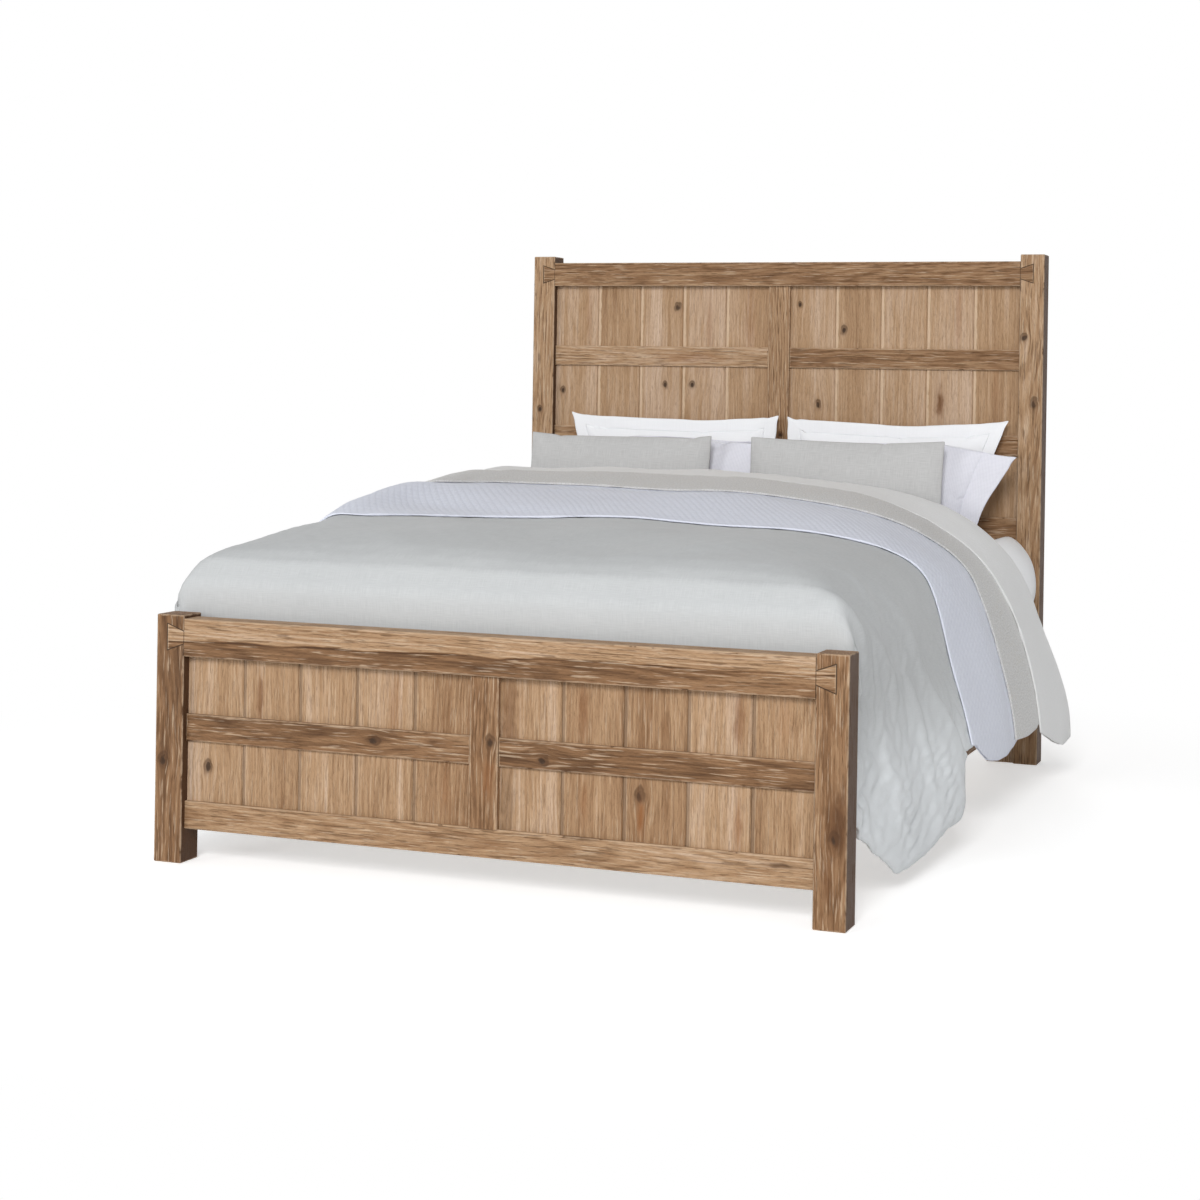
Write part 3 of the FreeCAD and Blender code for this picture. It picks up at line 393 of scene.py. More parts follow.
class Oak(Finish):
    """Oak whose grain runs along one axis of the bed."""

    def __init__(self, name, grain, box, seed):
        super().__init__(name)
        self.low, self.high = box
        x, y, z = self.split(self.place())
        self.x, self.y, self.z = x, y, z
        self.along, self.across, self.depth = {"X": (x, z, y), "Y": (y, z, x), "Z": (z, x, y)}[grain]
        self.axes = {"X": (2, 1), "Y": (2, 0), "Z": (0, 1)}[grain]
        self.luck = np.random.default_rng(seed)
        self.offset = [float(shift) for shift in self.luck.uniform(-NOISE_SHIFT, NOISE_SHIFT, 3)]
        self.sway = self.stretched("wobble", self.across) - 0.5

    def stretched(self, kind, side):
        """Noise drawn out along the grain."""
        run, width, detail, roughness = GRAIN_NOISE[kind]
        cycles = (self.along * run, side * width, self.depth * width)
        return self.noise([part + shift for part, shift in zip(cycles, self.offset)], detail, roughness)

    def near_marks(self, marks):
        """Each mark with the run along it and the square of the distance from it, in its own sizes."""
        near = []
        for mark in marks:
            run = (self.along - mark["along"]) / mark["length"] + self.sway * MARK_SWAY[0]
            wide = (self.across - mark["across"]) / mark["width"] + self.sway * MARK_SWAY[1]
            near.append((mark, run, run * run + wide * wide))
        return near

    def bent_side(self, near):
        """The measure across the grain, bent round knots and wandering, and the wander itself."""
        side = self.across
        for mark, _, reach in near:
            if "bend" in mark:
                side = side - (self.across - mark["across"]) * (mark["bend"] / (1 + reach * BEND_FALL))
        wander = self.stretched("wander", side) - 0.5
        return side + wander * GRAIN_WANDER, wander

    def either_way(self, sizes):
        """A random size between two, above or below zero."""
        return float(self.luck.choice([-1, 1])) * float(self.luck.uniform(*sizes))

    def ring(self, side, wander, hair):
        """Growth rings round a heart that lies beside the piece."""
        first, second = self.axes
        middle = (self.low + self.high) / 2
        heart_share = float(self.luck.uniform(-0.5, 0.5))
        heart_side = middle[first] + heart_share * (self.high[first] - self.low[first])
        heart_depth = middle[second] + self.either_way(HEART_DEPTH)
        heart = ((side - heart_side) ** 2 + (self.depth - heart_depth) ** 2) ** 0.5
        lean = self.either_way(HEART_LEAN)
        growth = heart + self.along * lean + wander * RING_WANDER + (hair - 0.5) * RING_HAIR
        wave = self.math("SINE", growth * (TURN / RING_PITCH)) * 0.5 + 0.5
        return wave * wave

    def bands(self, facts):
        """Paler above a line along the piece and darker below it, with the line itself darkest."""
        wave = (self.stretched("saw_line", self.x) - 0.5) * facts["wave"]
        above = self.z - (facts["height"] + (self.x - facts["start"]) * facts["rise"] + wave)
        fading = 1 - self.rise(self.x, 0.0, facts["end"]) * facts["fade"]
        step = (self.rise(above, -facts["blend"], facts["blend"]) - 0.5) * facts["step"] * fading
        return step - self.fall(self.size(above + facts["blend"]), *facts["line"]) * facts["line_shade"]

    def marked(self, shown, hollow, near, hair):
        """The colour and the hollows with the marks added."""
        for mark, run, reach in near:
            patchy = (hair + MARK_LEAST) / (reach * reach * MARK_FALL + 1)
            if mark["red"]:
                shown = self.mix(patchy * mark["red"], shown, OAK_RED)
            if mark["dark"]:
                shown = self.mix(self.smaller(patchy * mark["dark"], 1.0), shown, OAK_DARK)
            if "bend" in mark:
                lopsided = self.rise(run + self.sway * KNOT_LEAN, *KNOT_LOPSIDED)
                rim = self.fall(self.size(reach - KNOT_RIM), *KNOT_RIM_FADE) * lopsided
                core = self.fall(reach + self.sway * KNOT_SWAY, *KNOT_CORE)
                shown = self.mix(rim * KNOT_RIM_SHADE, shown, OAK_DARK)
                shown = self.mix(core * KNOT_CORE_SHADE, shown, OAK_BLACK)
                hollow = hollow + core
        return shown, hollow

    def gaps(self):
        """How far in from the nearer face a place lies, along each axis."""
        places = enumerate((self.x, self.y, self.z))
        return [self.smaller(place - float(self.low[i]), float(self.high[i]) - place) for i, place in places]

    def tail_seam(self, tail):
        """The fine dark line round a dovetail, on the face that shows it."""
        out = self.size(self.x)
        up = self.size(self.z - tail["middle"])
        slope = (tail["end"] - tail["neck"]) / (tail["tip"] - tail["root"])
        half_height = (out - tail["root"]) * slope + tail["neck"]
        outline = self.larger(up - half_height, out - tail["tip"])
        line = self.fall(self.size(outline), *SEAM_FADE)
        shoulder = self.fall(self.size(out - tail["root"]), *SHOULDER_FADE)
        inside = self.rise(out, tail["root"] - TAIL_INSIDE, tail["root"])
        front = self.fall(self.y, tail["face"], tail["face"] + TAIL_FACE)
        return self.larger(line * inside, shoulder * SHOULDER_SHADE) * self.fall(up, *RAIL_HALF) * front


def oak_finish(name, grain, box, tone, seed, figure, marks=(), tail=None, bands=None, painted_side_shade=False):
    """Wire-brushed oak: grain, then marks, painted shade on the sides of posts, worn edges that on the head
    boards are also a painted highlight, nicks and the lines of its joints.
    """
    oak = Oak(name, grain, box, seed)
    near = oak.near_marks(marks)
    side, wander = oak.bent_side(near)
    broad, strip, hair = (oak.stretched(kind, side) for kind in ("broad", "strip", "hair"))
    dash = oak.rise(oak.stretched("dash", side), *DASH_CUT)
    pore = oak.rise(oak.stretched("pore", side), *PORE_CUT)
    fleck = oak.rise(oak.stretched("fleck", side * FLECK_SPREAD), *PORE_CUT)
    level = (
        tone
        + (broad - 0.5) * figure["broad"]
        + (strip - 0.5) * figure["strip"]
        + (hair - 0.5) * figure["hair"]
        + (RING_MEAN - oak.ring(side, wander, hair)) * figure["rings"]
    )
    if bands:
        level = level + oak.bands(bands)
    shown = oak.node("ShaderNodeValToRGB", {"stops": OAK_STOPS}, {0: level}, "Color")
    shown = oak.mix(fleck * figure["fleck"], shown, OAK_FLECK)
    shown = oak.mix(dash * figure["dash"], shown, OAK_DARK)
    shown = oak.mix(pore * PORE_SHADE, shown, OAK_DARK)
    shown, hollow = oak.marked(shown, dash * DASH_DEPTH + pore * PORE_DEPTH, near, hair)
    gap_x, gap_y, gap_z = oak.gaps()
    # Painted shade: a post's faces towards either side are darkened to dark oak
    if painted_side_shade:
        shown = oak.mix(oak.fall(gap_x, *PAINTED_SHADE_FADE) * PAINTED_SHADE_STRENGTH, shown, OAK_DARK)
    edge = oak.smaller(
        oak.larger(gap_x, gap_y), oak.smaller(oak.larger(gap_y, gap_z), oak.larger(gap_x, gap_z))
    )
    # Pale worn edges; on the head boards they are strong enough to be also a painted highlight
    worn_and_highlit = oak.fall(edge + oak.sway * WORN_SWAY, *WORN_FADE)
    shown = oak.mix(worn_and_highlit * figure["worn"], shown, OAK_WEAR_AND_HIGHLIGHT)
    nick = oak.rise(oak.sway, *NICK_CUT) * oak.fall(edge, *NICK_FADE) * figure["nick"]
    shown = oak.mix(nick, shown, OAK_DARK)
    if figure["joint"]:
        shown = oak.mix(oak.fall(gap_x, *JOINT_FADE) * figure["joint"], shown, OAK_DARK)
    if tail:
        seam = oak.tail_seam(tail)
        shown = oak.mix(seam * SEAM_SHADE, shown, OAK_BLACK)
        hollow = hollow + seam
    height = hair * HAIR_HEIGHT + strip * STRIP_HEIGHT - hollow - nick
    normal = oak.bump(height, OAK_RELIEF, OAK_BUMP)
    rough = OAK_ROUGH + (hair - 0.5) * HAIR_ROUGH + dash * DASH_ROUGH
    return oak.surface(base_color=shown, roughness=rough, normal=normal, specular_ior_level=OAK_SHINE)


# The axis of each oak piece's grain, how pale it is, from 0 to 1, and the marks that it carries
FRAME_OAK = {
    "head_post_left": ("Z", 0.66, [knot(1.057, -0.822, 0.010)]),
    "head_post_right": ("Z", 0.62, [knot(1.306, 0.790, 0.011), knot(1.104, 0.824, 0.012, 1.8)]),
    "head_top_rail": ("X", 0.42, []),
    "head_bottom_rail": ("X", 0.45, []),
    "head_stile": ("Z", 0.57, [knot(0.99, 0.010, 0.008)]),
    "head_upper_batten_left": ("X", 0.65, [streak(-0.30, 1.235, 0.12, 0.018, red=0.4)]),
    "head_upper_batten_right": ("X", 0.38, []),
    "head_lower_batten_left": ("X", 0.52, []),
    "head_lower_batten_right": ("X", 0.42, []),
    # Painted light: the inner legs are much paler than the other oak, so they look lit in the shade under the
    # bed
    "head_inner_legs": ("Z", 0.80, []),
    "foot_post_left": ("Z", 0.30, [knot(0.241, -0.828, 0.014), streak(0.42, -0.792, 0.10, 0.010, dark=0.5)]),
    "foot_post_right": (
        "Z",
        0.41,
        [
            streak(0.225, 0.832, 0.085, 0.026, dark=0.75, red=0.5),
            knot(0.195, 0.822, 0.012, 1.6),
            streak(0.10, 0.806, 0.06, 0.014, dark=0.3, red=0.3),
        ],
    ),
    "foot_top_rail": ("X", 0.44, [streak(0.02, 0.512, 0.09, 0.010, dark=0.5)]),
    "foot_bottom_rail": (
        "X",
        0.56,
        [
            streak(0.236, 0.144, 0.050, 0.005, dark=0.9),
            streak(0.703, 0.126, 0.040, 0.006, dark=0.9),
            streak(0.24, 0.105, 0.05, 0.008, dark=0.4),
        ],
    ),
    "foot_stile": ("Z", 0.45, [knot(0.342, 0.016, 0.012, 1.6), streak(0.26, 0.012, 0.05, 0.014, red=0.6)]),
    "foot_batten_left": ("X", 0.26, [knot(-0.280, 0.323, 0.012, 1.6)]),
    "foot_batten_right": ("X", 0.27, [knot(0.142, 0.308, 0.013, 1.3)]),
    "side_rail_left": ("Y", 0.46, []),
    "side_rail_right": ("Y", 0.46, []),
}
BOARD_MARKS = {
    "head_board_01": [knot(1.121, -0.750, 0.010), streak(1.36, -0.66, 0.10, 0.012, red=0.3)],
    "head_board_03": [knot(1.398, -0.349, 0.012, 1.5), knot(1.143, -0.390, 0.010)],
    "head_board_04": [knot(1.145, -0.296, 0.010), streak(1.33, -0.24, 0.10, 0.012, red=0.4)],
    "head_board_05": [streak(1.35, -0.10, 0.14, 0.02, red=0.35)],
    "head_board_06": [knot(1.406, 0.065, 0.008), knot(1.088, 0.130, 0.012)],
    "head_board_07": [knot(1.327, 0.212, 0.011, 1.5)],
    "head_board_09": [
        streak(1.10, 0.525, 0.05, 0.014, dark=0.5, red=0.8),
        streak(1.38, 0.58, 0.12, 0.012, red=0.4),
    ],
    "head_board_10": [streak(1.15, 0.70, 0.10, 0.012, red=0.3)],
    "foot_board_01": [knot(0.228, -0.720, 0.012, 1.5)],
    "foot_board_02": [streak(0.398, -0.583, 0.06, 0.010, dark=0.3, red=0.6)],
    "foot_board_04": [streak(0.40, -0.23, 0.09, 0.018, red=0.4)],
    "foot_board_05": [streak(0.22, -0.10, 0.06, 0.012, red=0.4)],
    "foot_board_06": [
        streak(0.40, 0.058, 0.12, 0.022, dark=0.4, red=0.4),
        streak(0.20, 0.055, 0.09, 0.02, dark=0.4),
    ],
    "foot_board_07": [
        streak(0.425, 0.236, 0.07, 0.014, dark=0.2, red=0.7),
        streak(0.22, 0.24, 0.06, 0.010, red=0.5),
    ],
    "foot_board_08": [knot(0.245, 0.372, 0.013, 1.7), streak(0.20, 0.374, 0.045, 0.009, red=0.9)],
    "foot_board_09": [
        streak(0.43, 0.60, 0.07, 0.016, dark=0.2, red=0.6),
        streak(0.20, 0.60, 0.06, 0.010, red=0.6),
    ],
    "foot_board_10": [streak(0.43, 0.70, 0.08, 0.02, red=0.25)],
}
BOARD_ENDS = {"head": (100, HEAD_BOARD_GRAIN, 0.72), "foot": (200, FOOT_BOARD_GRAIN, 0.62)}
BOARD_COUNT = 10
BOARDS_WITHOUT_TONGUE = (1, 6)
BOARD_TONGUE = 0.0076
BOARD_TONE_SPREAD = 0.06
BOARD_TONE_STEP = 2.4
FRAME_SEED = 11
TAILS = {"head": HEAD_TAIL, "foot": FOOT_TAIL}
TAILED = ("post_left", "post_right", "top_rail")
FOOT_RAIL_BANDS = {
    "height": 0.527, "start": -0.8, "end": 0.8, "rise": 0.010, "wave": 0.022, "step": 0.46, "fade": 0.55,
    "blend": 0.003, "line": (0.0005, 0.004), "line_shade": 0.25,
}
PLAIN_WOOD = {"rail_cleats": "Y", "slats": "X", "center_legs": "Z"}
PINE_DARK = colour(0.44, 0.29, 0.16)
PINE_PALE = colour(0.72, 0.55, 0.36)
STEEL_NODES = ("rail_hooks", "hook_pins", "wood_screws", "leveller_1", "leveller_2", "leveller_3")
STEEL_DARK = colour(0.50, 0.50, 0.49)
STEEL_PALE = colour(0.68, 0.68, 0.66)
# Cycles in a metre along each axis, then how the shine varies
STEEL_BRUSHED = (300, 300, 2200)
STEEL_CLOUDY = (60, 60, 60)
STEEL_ROUGH = 0.30
CLOUDY_ROUGH = 0.18
BRUSHED_ROUGH = 0.08
STEEL_RELIEF = 0.0002
STEEL_BUMP = 0.4


def give(piece, material):
    piece.data.materials.clear()
    piece.data.materials.append(material)


def finish_frame_oak():
    for seed, (name, (grain, tone, marks)) in enumerate(FRAME_OAK.items(), FRAME_SEED):
        end, part = name.split("_", 1)
        tail = TAILS[end] if part in TAILED else None
        bands = FOOT_RAIL_BANDS if name == "foot_top_rail" else None
        # The posts get painted shade on their side faces
        material = oak_finish(
            f"oak_{name}", grain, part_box(name), tone, seed, FRAME_GRAIN, marks, tail, bands, "post" in name
        )
        give(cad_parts[name], material)


def finish_boards():
    for end, (seed, figure, tone) in BOARD_ENDS.items():
        for number in range(1, BOARD_COUNT + 1):
            name = f"{end}_board_{number:02d}"
            low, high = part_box(name)
            if number not in BOARDS_WITHOUT_TONGUE:
                low.x += BOARD_TONGUE
            own_tone = tone + BOARD_TONE_SPREAD * math.sin(number * BOARD_TONE_STEP + seed)
            marks = BOARD_MARKS.get(name, [])
            material = oak_finish(f"oak_{name}", "Z", (low, high), own_tone, seed + number, figure, marks)
            give(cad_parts[name], material)


def finish_plain_wood():
    for seed, (name, grain) in enumerate(PLAIN_WOOD.items()):
        pine = Finish(f"plain_{name}")
        x, y, z = pine.split(pine.place())
        along, across, depth = {"X": (x, y, z), "Y": (y, z, x), "Z": (z, x, y)}[grain]
        band = pine.noise((along * 1.5, across * 60 + seed * 7.0, depth * 60), 3.0)
        fibre = pine.noise((along * 12, across * 500, depth * 500 + seed * 3.0))
        shown = pine.mix(band * 0.7 + fibre * 0.3, PINE_DARK, PINE_PALE)
        normal = pine.bump(fibre, 0.0005, 0.5)
        material = pine.surface(base_color=shown, roughness=0.68 - fibre * 0.12, normal=normal)
        give(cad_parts[name], material)


def finish_steel():
    steel = Finish("zinc_plated_steel")
    place = steel.split(steel.place())
    brushed = steel.noise([part * cycles for part, cycles in zip(place, STEEL_BRUSHED)])
    cloudy = steel.noise([part * cycles for part, cycles in zip(place, STEEL_CLOUDY)], 3.0)
    shown = steel.mix(cloudy, STEEL_DARK, STEEL_PALE)
    rough = STEEL_ROUGH + cloudy * CLOUDY_ROUGH + brushed * BRUSHED_ROUGH
    normal = steel.bump(brushed, STEEL_RELIEF, STEEL_BUMP)
    material = steel.surface(base_color=shown, metallic=1.0, roughness=rough, normal=normal)
    for name in STEEL_NODES:
        give(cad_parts[name], material)


# Cloths. Of the woven ones: yarn thickness, thick places in a metre of yarn, relief and sheen
PERCALE = {"yarn": 0.0008, "slub": 10.0, "relief": 0.0002, "sheen": 0.1}
DUVET_LINEN = {"yarn": 0.0016, "slub": 28.0, "relief": 0.0005, "sheen": 0.2}
PILLOW_LINEN = {"yarn": 0.0018, "slub": 26.0, "relief": 0.0005, "sheen": 0.15}
# Cycles in a metre across and along the cloth, layer, detail and roughness of each noise
CLOTH_NOISE = {
    "weave_patch": (5, 5, 3.0, 3.0, 0.5),
    "quilt_sway": (30, 30, 1.0, 2.0, 0.5),
    "quilt_puff": (75, 42, 6.0, 2.0, 0.5),
    "quilt_yarn": (700, 500, 2.0, 1.0, 0.5),
    "quilt_patch": (6, 6, 4.0, 2.0, 0.5),
    "wool_fibre": (210, 260, 0.0, 3.0, 0.7),
    "wool_tuft": (90, 120, 5.0, 2.0, 0.5),
    "wool_patch": (9, 9, 9.0, 2.0, 0.5),
}
WEAVE_CONTRAST = 1.6
WEAVE_MOTTLE = 0.3
WEAVE_ROUGH = (0.88, -0.08)
QUILT_SLOPE = (0.86, 0.5)
QUILT_CROSS = 0.7
QUILT_SWAY = 0.006
QUILT_CUT = (0.15, 0.95)
QUILT_ROUGH = 0.85
QUILT_SHEEN = 0.15
FIBRE_CUT = (0.36, 0.64)
TUFT_CUT = (0.50, 0.68)
TUFT_MOTTLE = 0.4
TUFT_SHARE = 0.55
BACK_FIBRE = 0.35
WOOL_ROUGH = 0.92
WOOL_SHEEN = 0.35
CLOTH_BUMP = 0.8
SHEEN_ROUGHNESS = 0.5
STRIPE_PITCH = 0.024
STRIPE_CUT = (0.72, 0.9)
STRIPE_SHARE = 0.5
TICKING_CYCLES = 600
TICKING_RELIEF = 0.0004
TICKING_BUMP = 0.6
TICKING_ROUGH = (0.86, -0.1)
TICKING_SHEEN = 0.1
TICKING_PALE = colour(0.86, 0.85, 0.82)
TICKING_DARK = colour(0.74, 0.73, 0.70)
TICKING_BLUE = colour(0.46, 0.49, 0.55)
NAP_RELIEF = 0.0014
BACK_BLEND = 0.01


class Cloth(Finish):
    """A cloth's material, worked out on the flat cloth's own measure in metres."""

    def __init__(self, name):
        super().__init__(name)
        flat = self.node("ShaderNodeUVMap", {"uv_map": "cut"})
        self.across, self.along, _ = self.split(flat)

    def spread(self, across, along, layer, detail, roughness=0.5):
        """Noise of so many cycles in a metre across and along the cloth."""
        return self.noise((self.across * across, self.along * along, layer), detail, roughness)

    def speckle(self, kind):
        return self.spread(*CLOTH_NOISE[kind])

    def close(self, shown, roughness, height, relief, sheen):
        return self.surface(
            base_color=shown,
            roughness=roughness,
            normal=self.bump(height, relief, CLOTH_BUMP),
            sheen_weight=sheen,
            sheen_roughness=SHEEN_ROUGHNESS,
        )


def woven(name, pale, dark, yarn, slub, relief, sheen, hem=None):
    """Plain woven cloth: crossed yarns of uneven thickness, with painted light that makes it paler towards a
    hem, where one is given.
    """
    cloth = Cloth(name)
    warp = cloth.spread(1 / yarn, slub, 0.0, 1.0)
    weft = cloth.spread(slub, 1 / yarn, 7.0, 1.0)
    patch = cloth.speckle("weave_patch")
    weave = warp * 0.5 + weft * 0.5
    shade = (weave - 0.5) * WEAVE_CONTRAST + 0.5 + (patch - 0.5) * WEAVE_MOTTLE
    shown = cloth.mix(cloth.rise(shade, 0.0, 1.0), dark, pale)
    if hem:
        # Painted light: the cloth turns paler out towards the hem
        start, end, share, paler = hem
        shown = cloth.mix(cloth.rise(cloth.size(cloth.across), start, end) * share, shown, paler)
    return cloth.close(shown, weave * WEAVE_ROUGH[1] + WEAVE_ROUGH[0], weave, relief, sheen)


def quilted(name, pale, dark, pitch, relief):
    """Woven-in quilting: small slanting ridges of two crossing slopes."""
    cloth = Cloth(name)
    across, along = cloth.across, cloth.along
    sway = (cloth.speckle("quilt_sway") - 0.5) * QUILT_SWAY
    steep, flat = QUILT_SLOPE
    one = cloth.math("SINE", (across * steep + along * flat + sway) * (TURN / pitch))
    other = cloth.math("SINE", (across * flat - along * steep + sway) * (TURN / pitch * QUILT_CROSS))
    broken = cloth.speckle("quilt_puff")
    puff = cloth.size(one) * (0.1 + broken * 0.5) + cloth.size(other) * 0.2 + broken * 0.5
    yarn = cloth.speckle("quilt_yarn")
    patch = cloth.speckle("quilt_patch")
    shade = puff * 0.6 + yarn * 0.25 + patch * 0.25
    shown = cloth.mix(cloth.rise(shade, *QUILT_CUT), dark, pale)
    return cloth.close(shown, QUILT_ROUGH, puff + yarn * 0.2, relief, QUILT_SHEEN)


def heathered(name, pale, dark, warm, reverse, turned):
    """Soft wool of mixed fibres with a short nap, paler from a length along it, where its back shows."""
    cloth = Cloth(name)
    fibre = cloth.speckle("wool_fibre")
    tuft = cloth.speckle("wool_tuft")
    patch = cloth.speckle("wool_patch")
    shown = cloth.mix(cloth.rise(fibre, *FIBRE_CUT), dark, pale)
    tufted = cloth.rise(tuft + (patch - 0.5) * TUFT_MOTTLE, *TUFT_CUT)
    shown = cloth.mix(tufted * TUFT_SHARE, shown, warm)
    back = cloth.mix(fibre * BACK_FIBRE, reverse, shown)
    shown = cloth.mix(cloth.rise(cloth.along, turned - BACK_BLEND, turned + BACK_BLEND), shown, back)
    return cloth.close(shown, WOOL_ROUGH, fibre * 0.5 + tuft * 0.5, NAP_RELIEF, WOOL_SHEEN)


def ticking_finish():
    """Striped ticking, measured on the bed itself."""
    cloth = Finish("ticking")
    place = cloth.split(cloth.place())
    stripe = cloth.math("SINE", (place[0] + place[1]) * (TURN / STRIPE_PITCH))
    weave = cloth.noise([part * TICKING_CYCLES for part in place])
    shown = cloth.mix(weave, TICKING_DARK, TICKING_PALE)
    shown = cloth.mix(cloth.rise(stripe, *STRIPE_CUT) * STRIPE_SHARE, shown, TICKING_BLUE)
    return cloth.surface(
        base_color=shown,
        roughness=weave * TICKING_ROUGH[1] + TICKING_ROUGH[0],
        normal=cloth.bump(weave, TICKING_RELIEF, TICKING_BUMP),
        sheen_weight=TICKING_SHEEN,
        sheen_roughness=SHEEN_ROUGHNESS,
    )


# Plain number work for the cloth shapes
TINY = 1e-9
RIPPLE_PITCH = (0.65, 1.7)
RIPPLE_CALM = 1.6


def ease(start, end, value):
    """0 at start, 1 at end and smooth between."""
    share = np.clip((np.asarray(value, float) - start) / (end - start), 0.0, 1.0)
    return share * share * (3 - 2 * share)


def bell(value, middle, width):
    return np.exp(-(((np.asarray(value, float) - middle) / width) ** 2))


def ripple(first, second, seed, size, count=24):
    """A smooth uneven field over two measures, about -1 to 1, whose waves are about as long as size."""
    luck = np.random.default_rng(seed)
    field = np.zeros(np.broadcast(first, second).shape)
    for _ in range(count):
        turn = luck.uniform(0, TURN)
        pitch = size * luck.uniform(*RIPPLE_PITCH)
        run = (first * math.cos(turn) + second * math.sin(turn)) * TURN / pitch
        field = field + np.cos(run + luck.uniform(0, TURN))
    return field / math.sqrt(count / 2) / RIPPLE_CALM


def smooth_line(corners, steps):
    """Points on a smooth curve through the corners."""
    corners = np.asarray(corners, float)
    ends = np.vstack([2 * corners[0] - corners[1], corners, 2 * corners[-1] - corners[-2]])
    share = np.linspace(0, 1, steps, endpoint=False)[:, None]
    pieces = []
    for before, first, second, after in zip(ends, ends[1:], ends[2:], ends[3:]):
        bend = 2 * before - 5 * first + 4 * second - after
        twist = 3 * first - before - 3 * second + after
        pieces.append(
            0.5 * (2 * first + (second - before) * share + bend * share**2 + twist * share**3)
        )
    return np.vstack(pieces + [corners[-1:]])


def distances(points, axis=0):
    """How far each point lies along its line from the line's start."""
    steps = np.linalg.norm(np.diff(points, axis=axis), axis=-1)
    start = np.zeros_like(steps.take([0], axis))
    return np.concatenate([start, np.cumsum(steps, axis=axis)], axis=axis)


def spaced(line, count):
    """The line's points, spread evenly along it."""
    run = distances(line)
    even = np.linspace(0, run[-1], count)
    return np.stack([np.interp(even, run, line[:, i]) for i in range(line.shape[1])], axis=1)


def unit(vectors):
    return vectors / np.maximum(np.linalg.norm(vectors, axis=-1, keepdims=True), TINY)


def grid_normals(grid):
    return unit(np.cross(np.gradient(grid, axis=1), np.gradient(grid, axis=0)))


def pushed(grid, push):
    """The grid with each point moved straight out of the surface."""
    return grid + grid_normals(grid) * push[:, :, None]


# The bedding's top surface at stations along the bed, as (out from the middle, height)
RIGHT_SECTIONS = {
    -0.90: [(0, 0.785), (0.35, 0.785), (0.55, 0.775), (0.68, 0.750), (0.775, 0.700), (0.835, 0.600),
            (0.862, 0.442), (0.915, 0.200)],
    -0.13: [(0, 0.788), (0.35, 0.775), (0.55, 0.756), (0.68, 0.728), (0.765, 0.680), (0.812, 0.590),
            (0.850, 0.442), (0.912, 0.200)],
    0.35: [(0, 0.830), (0.35, 0.803), (0.55, 0.770), (0.68, 0.711), (0.765, 0.641), (0.812, 0.558),
           (0.858, 0.440), (0.922, 0.200)],
    0.60: [(0, 0.859), (0.35, 0.826), (0.55, 0.768), (0.66, 0.717), (0.748, 0.653), (0.812, 0.567),
           (0.866, 0.442), (0.924, 0.200)],
    0.77: [(0, 0.847), (0.35, 0.822), (0.55, 0.788), (0.66, 0.747), (0.750, 0.681), (0.814, 0.591),
           (0.872, 0.432), (0.950, 0.200)],
}
LEFT_SECTIONS = {
    -0.90: [(0, 0.785), (0.35, 0.785), (0.55, 0.778), (0.68, 0.764), (0.785, 0.738), (0.846, 0.648),
            (0.868, 0.455), (0.915, 0.200)],
    -0.50: [(0, 0.788), (0.35, 0.784), (0.55, 0.780), (0.68, 0.778), (0.785, 0.762), (0.845, 0.668),
            (0.868, 0.460), (0.915, 0.200)],
    -0.30: [(0, 0.788), (0.35, 0.781), (0.55, 0.780), (0.68, 0.787), (0.785, 0.802), (0.850, 0.714),
            (0.870, 0.472), (0.915, 0.200)],
    -0.13: [(0, 0.788), (0.35, 0.779), (0.55, 0.781), (0.68, 0.796), (0.785, 0.823), (0.852, 0.736),
            (0.873, 0.485), (0.915, 0.200)],
    0.05: [(0, 0.803), (0.35, 0.800), (0.55, 0.808), (0.68, 0.822), (0.785, 0.836), (0.853, 0.744),
           (0.876, 0.490), (0.918, 0.200)],
    0.20: [(0, 0.812), (0.35, 0.815), (0.55, 0.824), (0.68, 0.836), (0.780, 0.843), (0.851, 0.750),
           (0.878, 0.490), (0.920, 0.200)],
    0.385: [(0, 0.830), (0.35, 0.841), (0.55, 0.845), (0.68, 0.848), (0.775, 0.848), (0.848, 0.757),
            (0.878, 0.490), (0.922, 0.200)],
    0.60: [(0, 0.859), (0.35, 0.860), (0.55, 0.863), (0.68, 0.860), (0.775, 0.841), (0.845, 0.747),
           (0.878, 0.490), (0.920, 0.200)],
    0.77: [(0, 0.847), (0.35, 0.854), (0.55, 0.850), (0.68, 0.838), (0.770, 0.806), (0.835, 0.702),
           (0.876, 0.480), (0.920, 0.200)],
}
FOOT_PROFILE = [(-1.06, 0.48), (-1.040, 0.50), (-1.039, 0.60), (-1.03, 0.655), (-0.99, 0.712), (-0.95, 0.735),
                (-0.90, 0.752), (-0.80, 0.771), (-0.70, 0.788), (-0.60, 0.806), (-0.45, 0.86)]
FOOT_BLUR = 0.035
SECTION_STEPS = 24
HEM_SPREAD = 0.006
HEM_LOWEST = 0.02
HEM_SEARCH = np.linspace(0.75, 2, 260)
CORNER_TUCK = 0.085
CORNER_START, CORNER_RUN = -0.32, 0.72
CORNER_CURVE = 1.15
LOW_DROP = (0.64, 0.22)
DROP_WAVE = {"height": 0.004, "length": 0.30, "stretch": 0.25}
SLOW_WAVE = {"height": 0.0045, "length": 0.45, "start": (-1.02, -0.9)}
FOLD_ENDS = (0.06, 0.94)
FOLD_CURVE = 0.7
SHOULDER = 0.75
TOP_COLUMNS = 60
DROP_COLUMNS = 70
TOP_REACH = 0.78
DROP_REACH = 0.70
BED_STATIONS = np.concatenate([np.linspace(-1.04, -1.0, 9)[:-1], np.linspace(-1.0, 0.96, 180)])
